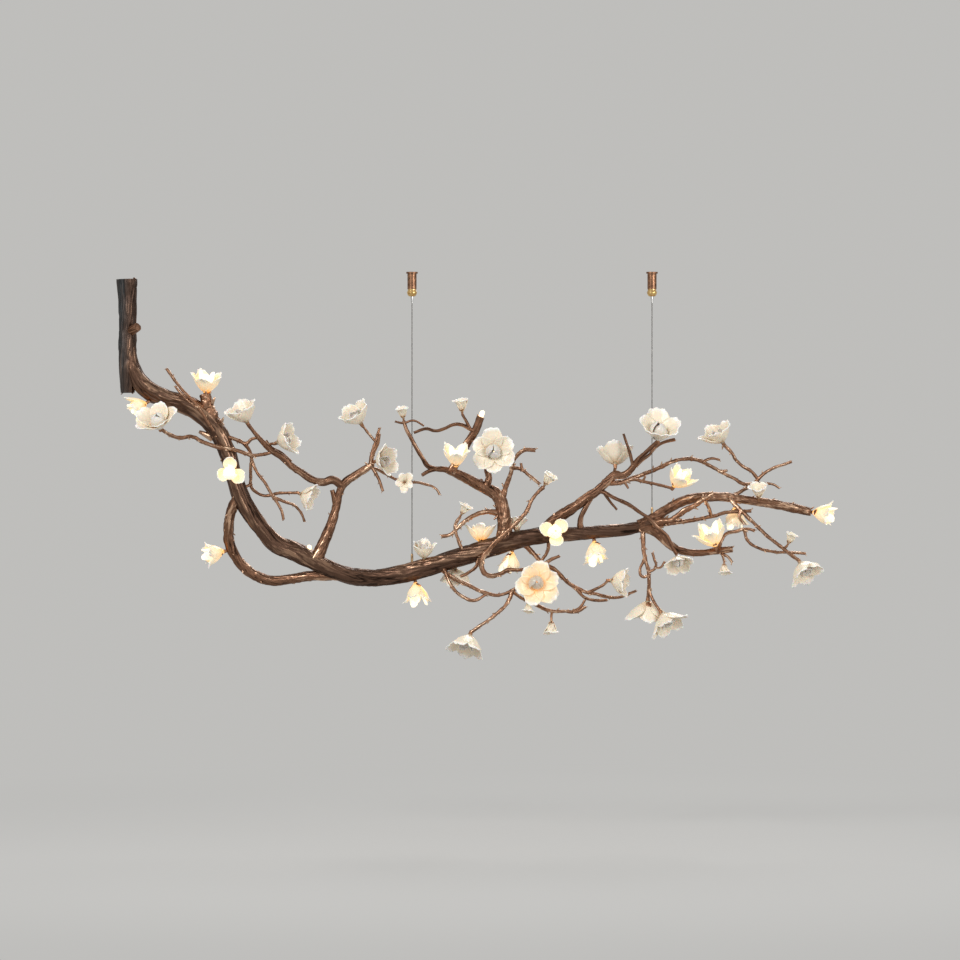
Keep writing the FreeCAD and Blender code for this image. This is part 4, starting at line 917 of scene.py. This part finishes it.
def flat_petal(u, v, form, state):
    """A point of a petal that leans out from the heart and curls at its rim."""
    width, camber, point, frill = PETAL_FORMS[form][3:]
    far, rise, angle = state
    # its width grows from a narrow foot to the shoulder and closes in a little towards the rim
    share = FOOT_WIDTH + (1 - FOOT_WIDTH) * math.sin(math.pi / 2 * min(u / SHOULDER, 1.0))
    if u > SHOULDER:
        share *= 1 - (0.9 * point - 0.17) * ((u - SHOULDER) / (1 - SHOULDER)) ** 2
    # the sides rise with the camber, the rim folds, and its corners are drawn back to leave a tip
    folds = math.cos(FOLDS * math.pi * v)
    lift = camber * width * v * v * min(1.0, 1.5 - u) + 0.6 * frill * u * folds
    reach = frill * u ** 6 * folds - width * (0.5 * point - 0.08) * abs(v) ** (5 - 4 * point) * u * u
    normal = Vector((-math.sin(angle), 0, math.cos(angle)))
    along = Vector((math.cos(angle), 0, math.sin(angle)))
    return Vector((far, v * width * share / 2, rise)) + normal * lift + along * reach


def bud_petal(u, v):
    """A point of a shell that wraps the heart and closes over it, one edge under the next shell.

    u takes it up a dome from 28 to 168 degrees, and v round the heart by 78 degrees each way at most.
    """
    turn = math.radians(28 + 140 * u)
    reach = 0.36 * math.sin(turn) * (1 + 0.10 * v)
    around = v * math.radians(78) * (1 - 0.35 * u * u)
    return Vector((reach * math.cos(around), reach * math.sin(around),
                   0.40 - 0.42 * math.cos(turn) - 0.05 * v * v * u))


def petal_sheet(form):
    """One curved petal of unit length, from the heart at u = 0 to the rim at u = 1."""
    vertices, marks = [], []
    far, rise = HEART_RADIUS, 0.03
    inside = 1.0 if form in ("inner", "bud", "tongue") else 0.0
    for row in range(PETAL_CELLS + 1):
        u = row / PETAL_CELLS
        if form != "bud":
            root, tip, curl = PETAL_FORMS[form][:3]
            angle = math.radians(root + (tip - root) * u - curl * (max(u - BEND, 0) / (1 - BEND)) ** 2)
            if row:
                far += math.cos(angle) / PETAL_CELLS
                rise += math.sin(angle) / PETAL_CELLS
        for column in range(PETAL_CELLS + 1):
            v = 2 * column / PETAL_CELLS - 1
            vertices.append(bud_petal(u, v) if form == "bud" else flat_petal(u, v, form, (far, rise, angle)))
            marks.append((u, v, inside))
    wide = PETAL_CELLS + 1
    corners = [row * wide + column for row in range(PETAL_CELLS) for column in range(PETAL_CELLS)]
    mesh = bpy.data.meshes.new(form + "_petal")
    mesh.from_pydata(vertices, [], [(at, at + wide, at + wide + 1, at + 1) for at in corners])
    layer = mesh.attributes.new("petal", "FLOAT_VECTOR", "POINT")
    for item, mark in zip(layer.data, marks):
        item.vector = mark
    return bpy.data.objects.new(form + "_petal", mesh)


# petals of a whorl: how far out of their even places, in radians, how much higher every second one
# stands, and their least and greatest lean and size
ASKEW, PETAL_STEP, LEANS, SIZES = 0.10, 0.033, (-1.0, 0.6), (0.90, 1.06)
INNER_TURN = math.radians(30)
# ripples and notches: their noise scales, the powers by which they grow towards the rim, and a depth
RIPPLE_SCALE, RIPPLE_GROWTH, NOTCH_SCALE, NOTCH_GROWTH, NOTCH_DEPTH = 1.9, 2.0, 2.8, 4.0, 0.13


def whorl(petal, count, turn, size, spread_angle, seed):
    """Petals evenly round the flower's axis, every second one set a little higher."""
    tree = petal.tree
    index = out(tree, "GeometryNodeInputIndex")
    azimuth = index * (math.tau / count) + turn + random_between(-ASKEW, ASKEW, seed)
    lean = random_between(*LEANS, seed) * spread_angle
    spots = out(tree, "GeometryNodePoints", Count=count, Position=xyz(tree, Z=index % 2.0 * PETAL_STEP))
    blade = out(tree, "GeometryNodeObjectInfo", None, "Geometry", Object=petal)
    return planted(spots, blade, leaned(lean, azimuth), random_between(*SIZES, seed) * size)


def corolla_tree():
    """Two whorls of thin petals with wavy, notched rims."""
    tree, given = geometry_tree(
        "corolla", Outer_Petal="Object", Inner_Petal="Object", Outer_Count="Int", Inner_Count="Int",
        Inner_Size="Float", Size="Float", Thickness="Float", Turn="Float", Spread="Float",
        Ruffle="Float", Seed="Int", Material="Material")
    seed, spread_angle = given["Seed"], given["Spread"]
    outer = whorl(given["Outer_Petal"], given["Outer_Count"], given["Turn"], 1.0, spread_angle, seed)
    inner = whorl(given["Inner_Petal"], given["Inner_Count"], INNER_TURN, given["Inner_Size"],
                  spread_angle, seed)
    sheet = out(tree, "GeometryNodeRealizeInstances", Geometry=together(outer, inner))
    place = out(tree, "GeometryNodeInputPosition")
    along = separate(named(tree, "petal", "FLOAT_VECTOR"))
    wave = (noise(place, RIPPLE_SCALE, seed) - 0.5) * given["Ruffle"] * along ** RIPPLE_GROWTH
    notch = (noise(place, NOTCH_SCALE, seed, detail=0.0) - 0.5) * NOTCH_DEPTH * along ** NOTCH_GROWTH
    sheet = moved(sheet, out(tree, "GeometryNodeInputNormal").scaled(wave)
                  + place.math("NORMALIZE").scaled(notch))
    sheet = transformed(sheet, Scale=given["Size"])
    front = out(tree, "GeometryNodeExtrudeMesh", Mesh=sheet, Offset_Scale=given["Thickness"],
                Individual=False, mode="FACES")
    edged = stored(front, "edge", front.other("Side"), "BOOLEAN", "FACE")
    back = out(tree, "GeometryNodeFlipFaces", Mesh=sheet)
    closed = out(tree, "GeometryNodeMergeByDistance", Geometry=together(edged, back), Distance=SEAM)
    return end_tree(closed, given["Material"], named(tree, "edge", "BOOLEAN"))


# shares of a petal's length
HEART_TOP, STAMEN_HEIGHT = 0.15, 0.24
STAMEN_TURN = 2.4  # radians from one stamen to the next


def heart_tree():
    """Domed heart with a tuft of stamens round the lamp."""
    tree, given = geometry_tree("heart", Size="Float", Stamens="Int", Seed="Int", Material="Material")
    seed = given["Seed"]
    heart = cone(tree, 20, 3, 0.15, 0.085, 0.16)
    thread = cone(tree, 6, 2, 0.006, 0.010, STAMEN_HEIGHT)
    tip = out(tree, "GeometryNodeMeshIcoSphere", Radius=0.022, Subdivisions=2)
    tip = transformed(tip, Translation=(0.0, 0.0, STAMEN_HEIGHT), Scale=(1.0, 1.0, 1.5))
    azimuth = out(tree, "GeometryNodeInputIndex") * STAMEN_TURN + random_between(-0.2, 0.2, seed)
    foot = xyz(tree, X=azimuth.math("COSINE") * HEART_RADIUS, Y=azimuth.math("SINE") * HEART_RADIUS,
               Z=HEART_TOP)
    spots = out(tree, "GeometryNodePoints", Count=given["Stamens"], Position=foot)
    tuft = planted(spots, together(thread, tip), leaned(random_between(0.10, 0.45, seed), azimuth),
                   random_between(0.8, 1.15, seed))
    return end_tree(transformed(together(heart, tuft), Scale=given["Size"]), given["Material"])


PETALS = {form: petal_sheet(form) for form in (*PETAL_FORMS, "bud")}
COROLLA = corolla_tree()
HEART = heart_tree()


def blossom(flower, glaze, heart, turn, seed):
    """One flower's petals and heart as plain meshes, in place."""
    twig_end, opening, length, form = flower
    outer, inner, inner_form, inner_size, stamens = FLOWER_FORMS[form]
    empty = bpy.data.meshes.new("empty")
    way = Vector(opening).normalized()
    upright = Vector((0, 0, 1)).rotation_difference(way).to_matrix().to_4x4()
    petals = grown(
        "petals", empty, COROLLA, glaze, Outer_Petal=PETALS[form], Inner_Petal=PETALS[inner_form],
        Outer_Count=outer, Inner_Count=inner, Inner_Size=inner_size, Size=length * MM,
        Thickness=PETAL_THICKNESS, Turn=math.radians(turn), Spread=0.14, Ruffle=0.30, Seed=seed)
    core = grown("heart", empty, HEART, heart, Size=length * MM, Stamens=stamens, Seed=seed)
    for mesh in (petals, core):
        mesh.transform(Matrix.Translation((Vector(twig_end) + way * STALK_GAP) * MM) @ upright)
    return [petals, core]


def blossoms():
    """Every blossom's petals and heart; each seed is one more than the one before."""
    seed = 11
    for node, group in BLOSSOMS.items():
        lit = node in LIT_BLOSSOMS
        slot = "lit_porcelain" if lit else "porcelain"
        meshes = []
        for index, flower in enumerate(group):
            seed += 1
            turn = TURNS[node][index] if node in TURNS else 37 * seed % 60
            # the grey-hearted flower takes the dimmer lit copy, whose glow is painted lamplight
            meshes += blossom(flower, "warm_porcelain" if node in GREY_HEARTED else slot,
                              "lit_heart" if lit else "heart", turn, seed)
        placed(joined(node + "_petals", meshes), node)


def calyx_tree():
    """A small cone and five sepals under every blossom, turned the way it opens."""
    tree, given = geometry_tree("calyx", Sepals="Object", Depth="Float", Material="Material")
    sepals = out(tree, "GeometryNodeObjectInfo", None, "Geometry", Object=given["Sepals"])
    stem = transformed(cone(tree, 16, 5, 0.100, 0.062, 1.0), Translation=(0.0, 0.0, -0.68))
    turned = aligned(named(tree, "opening", "FLOAT_VECTOR"))
    spots = out(tree, "GeometryNodeMeshToPoints", Mesh=given["Geometry"])
    size = named(tree, "size")
    drawn_out = xyz(tree, X=size, Y=size, Z=given["Depth"])
    cups = together(planted(spots, sepals, turned, size), planted(spots, stem, turned, drawn_out))
    cups = out(tree, "GeometryNodeRealizeInstances", Geometry=cups)
    grain = noise(out(tree, "GeometryNodeInputPosition"), 260.0)
    return end_tree(marked_as_bark(cups, grain), given["Material"])


def calyces():
    """The calyces of all blossoms as one piece."""
    flowers = [flower for group in BLOSSOMS.values() for flower in group]
    ways = [Vector(opening).normalized() for _end, opening, _length, _form in flowers]
    spots = bpy.data.meshes.new("calyx_spots")
    spots.from_pydata([(Vector(flower[0]) + way * STALK_GAP) * MM for flower, way in zip(flowers, ways)],
                      [], [])
    spots.attributes.new("opening", "FLOAT_VECTOR", "POINT")
    spots.attributes.new("size", "FLOAT", "POINT")
    for index, (flower, way) in enumerate(zip(flowers, ways)):
        spots.attributes["opening"].data[index].vector = way
        spots.attributes["size"].data[index].value = flower[2] * MM
    sepals = shown("sepals", grown(
        "sepals", bpy.data.meshes.new("empty"), COROLLA, "calyx_bronze", Outer_Petal=PETALS["cup"],
        Inner_Petal=PETALS["inner"], Outer_Count=5, Inner_Count=0, Inner_Size=0.6, Size=0.30,
        Thickness=0.018, Spread=0.3, Ruffle=0.2, Seed=5))
    mesh = grown("calyces", spots, calyx_tree(), "calyx_bronze", Sepals=sepals, Depth=CALYX_DEPTH * MM)
    bpy.data.objects.remove(sepals)
    placed(shown("calyces", mesh), "calyx_cups")


# ---------------- suspension


def rope_tree():
    """Six-strand wire rope along a curve."""
    tree, given = geometry_tree("wire_rope", Radius="Float", Lay="Float", Strands="Int", Material="Material")
    share_along = out(tree, "GeometryNodeSplineParameter", None, "Factor")
    rope = resampled(given["Geometry"], given["Lay"] / 10.0)
    rope = out(tree, "GeometryNodeSetCurveTilt", Curve=rope,
               Tilt=share_along.other("Length") / given["Lay"] * math.tau)
    ring = out(tree, "GeometryNodeCurvePrimitiveCircle", Resolution=30, Radius=1.0)
    strand = abs((share_along * math.pi * given["Strands"]).math("COSINE"))
    reach = (strand * STRAND_DEPTH + (1 - STRAND_DEPTH)) * given["Radius"]
    ring = out(tree, "GeometryNodeSetPosition", Geometry=ring,
               Position=out(tree, "GeometryNodeInputPosition").scaled(reach))
    return end_tree(swept(rope, ring, 1.0), given["Material"])


ROPE = rope_tree()


def rope_line(name, x, heights):
    """A straight line at x through heights, both in millimetres."""
    line, spline = curve_through(name, "NURBS", [(x, 0, height) for height in heights])
    spline.order_u = 3
    spline.use_endpoint_u = True
    return line


def rope_mesh(name, line):
    return grown(name, line, ROPE, "rope_steel", Radius=ROPE_DIAMETER / 2 * MM, Lay=LAY_LENGTH * MM,
                 Strands=6)


def suspension_rope(side, foot):
    """One taut wire rope from its grip down to its ferrule."""
    x, name = SIDES[side], side + "_rope"
    line = rope_line(name, x, [ROPE_TOP, ROPE_TOP - 40, (ROPE_TOP + foot) / 2, foot + 40, foot])
    path = [tuple(vertex.co) for vertex in plain_mesh("line", shown("line", line)).vertices]
    rope = shown(name, rope_mesh(name, line))
    stands_for(side + "_cable")
    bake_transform(rope)


def rope_tails():
    """The ends of both ropes, from the nozzles' mouths up through the clamp balls."""
    heights = [ROPE_TOP, (ROPE_TOP + TAIL_TOP) / 2, TAIL_TOP]
    tails = [rope_mesh("tail", rope_line("tail", x, heights)) for x in SIDES.values()]
    placed(joined("rope_tails", tails), "cable_tails", body="cable_ends")


def nozzle_spring(side):
    """The spring between the cup's web and the clamp balls."""
    name, x = side + "_nozzle_spring", SIDES[side]
    turns = [index / SPRING_STEPS for index in range(SPRING_TURNS * SPRING_STEPS + 1)]
    coil, _spline = curve_through(name, "POLY", [
        (x + SPRING_RADIUS * math.cos(math.tau * turn), SPRING_RADIUS * math.sin(math.tau * turn),
         SPRING_FOOT + (SPRING_TOP - SPRING_FOOT) * turn / SPRING_TURNS) for turn in turns])
    coil.bevel_depth = SPRING_WIRE / 2 * MM
    coil.bevel_resolution = 3
    coil.use_fill_caps = True
    mesh = plain_mesh(name, shown(name, coil))
    mesh.materials.clear()
    mesh.materials.append(FINISHES["steel"])
    piece = shown(name + "_coil", mesh)
    stands_for(name)
    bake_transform(piece)


def hardware():
    """The solids that are shown as they are, each with its finish."""
    for node, material in DRESSED_SOLIDS.items():
        for slot in frame["nodes"][node].material_slots:
            slot.material = FINISHES[material]


# ---------------- the set


def floor():
    """A pale round floor that fades into the backdrop."""
    turns = [math.tau * step / FLOOR_SIDES for step in range(FLOOR_SIDES)]
    mesh = bpy.data.meshes.new("floor")
    mesh.from_pydata([(FLOOR_RADIUS * math.cos(turn), FLOOR_RADIUS * math.sin(turn), FLOOR_HEIGHT)
                      for turn in turns], [], [tuple(range(FLOOR_SIDES))])
    made, tree, shader = finish("floor", Roughness=0.9, Base_Color=(*BACKDROP, 1.0))
    glow = out(tree, "ShaderNodeEmission", Color=(*BACKDROP, 1.0), Strength=1.0)
    reach = (object_place(tree) * (1.0, 1.0, 0.0)).math("LENGTH").other("Value")
    fade = remap(reach, FADE_START, FADE_END)
    blend = out(tree, "ShaderNodeMixShader", {0: fade, 1: Field(tree, shader.outputs[0]), 2: glow})
    feed(tree.nodes["Material Output"], Surface=blend)
    mesh.materials.append(made)
    shown("floor", mesh)


def soft_light(name, place, size, energy):
    """A round area light that points at the branch."""
    lamp = bpy.data.lights.new(name, "AREA")
    lamp.shape = "DISK"
    lamp.size = size
    lamp.energy = energy
    item = shown(name, lamp)
    item.location = place
    item.rotation_euler = (LIGHT_AIM - Vector(place)).to_track_quat("-Z", "Y").to_euler()


def world():
    """Grey light all round, with the backdrop's own colour where it is seen."""
    made = bpy.data.worlds.new("studio")
    made.use_nodes = True
    tree = made.node_tree
    camera_ray = out(tree, "ShaderNodeLightPath", None, "Is Camera Ray")
    through = camera_ray.other("Is Glossy Ray").math("MAXIMUM", camera_ray.other("Is Transmission Ray"))
    feed(tree.nodes["Background"],
         Color=mixed(camera_ray.math("MAXIMUM", through), AMBIENT, BACKDROP))
    bpy.context.scene.world = made


def camera():
    lens = bpy.data.cameras.new("camera")
    lens.lens = CAMERA_LENS
    lens.sensor_width = CAMERA_LENS * PICTURE_WIDTH / -CAMERA_PLACE[1]
    lens.clip_end = 100.0
    item = shown("camera", lens)
    item.location = CAMERA_PLACE
    item.rotation_euler = (math.pi / 2, 0, 0)
    bpy.context.scene.camera = item


# ---------------- all together

camera()
for side, rope_foot in ROPE_FEET.items():
    suspension_rope(side, rope_foot)
rope_tails()
for side in SIDES:
    nozzle_spring(side)
hardware()
bored_log()
dressed_limbs("main_trunk", TRUNK_DRESS, "dark_bronze", 1)
for seed, node in enumerate(node for node in LIMBS if node.endswith("_limb")):
    dressed_limbs(node, LIMB_DRESS, "copper_bronze", 20 + seed)
for seed, node in enumerate(node for node in LIMBS if node.endswith("_twigs")):
    dressed_limbs(node, TWIG_DRESS, "twig_bronze", 40 + seed)
blossoms()
calyces()
for petal in PETALS.values():
    bpy.data.objects.remove(petal)
floor()
for light, (place, size, energy) in LIGHTS.items():
    soft_light(light, place, size, energy)
world()
bpy.context.scene.view_settings.view_transform = "Standard"
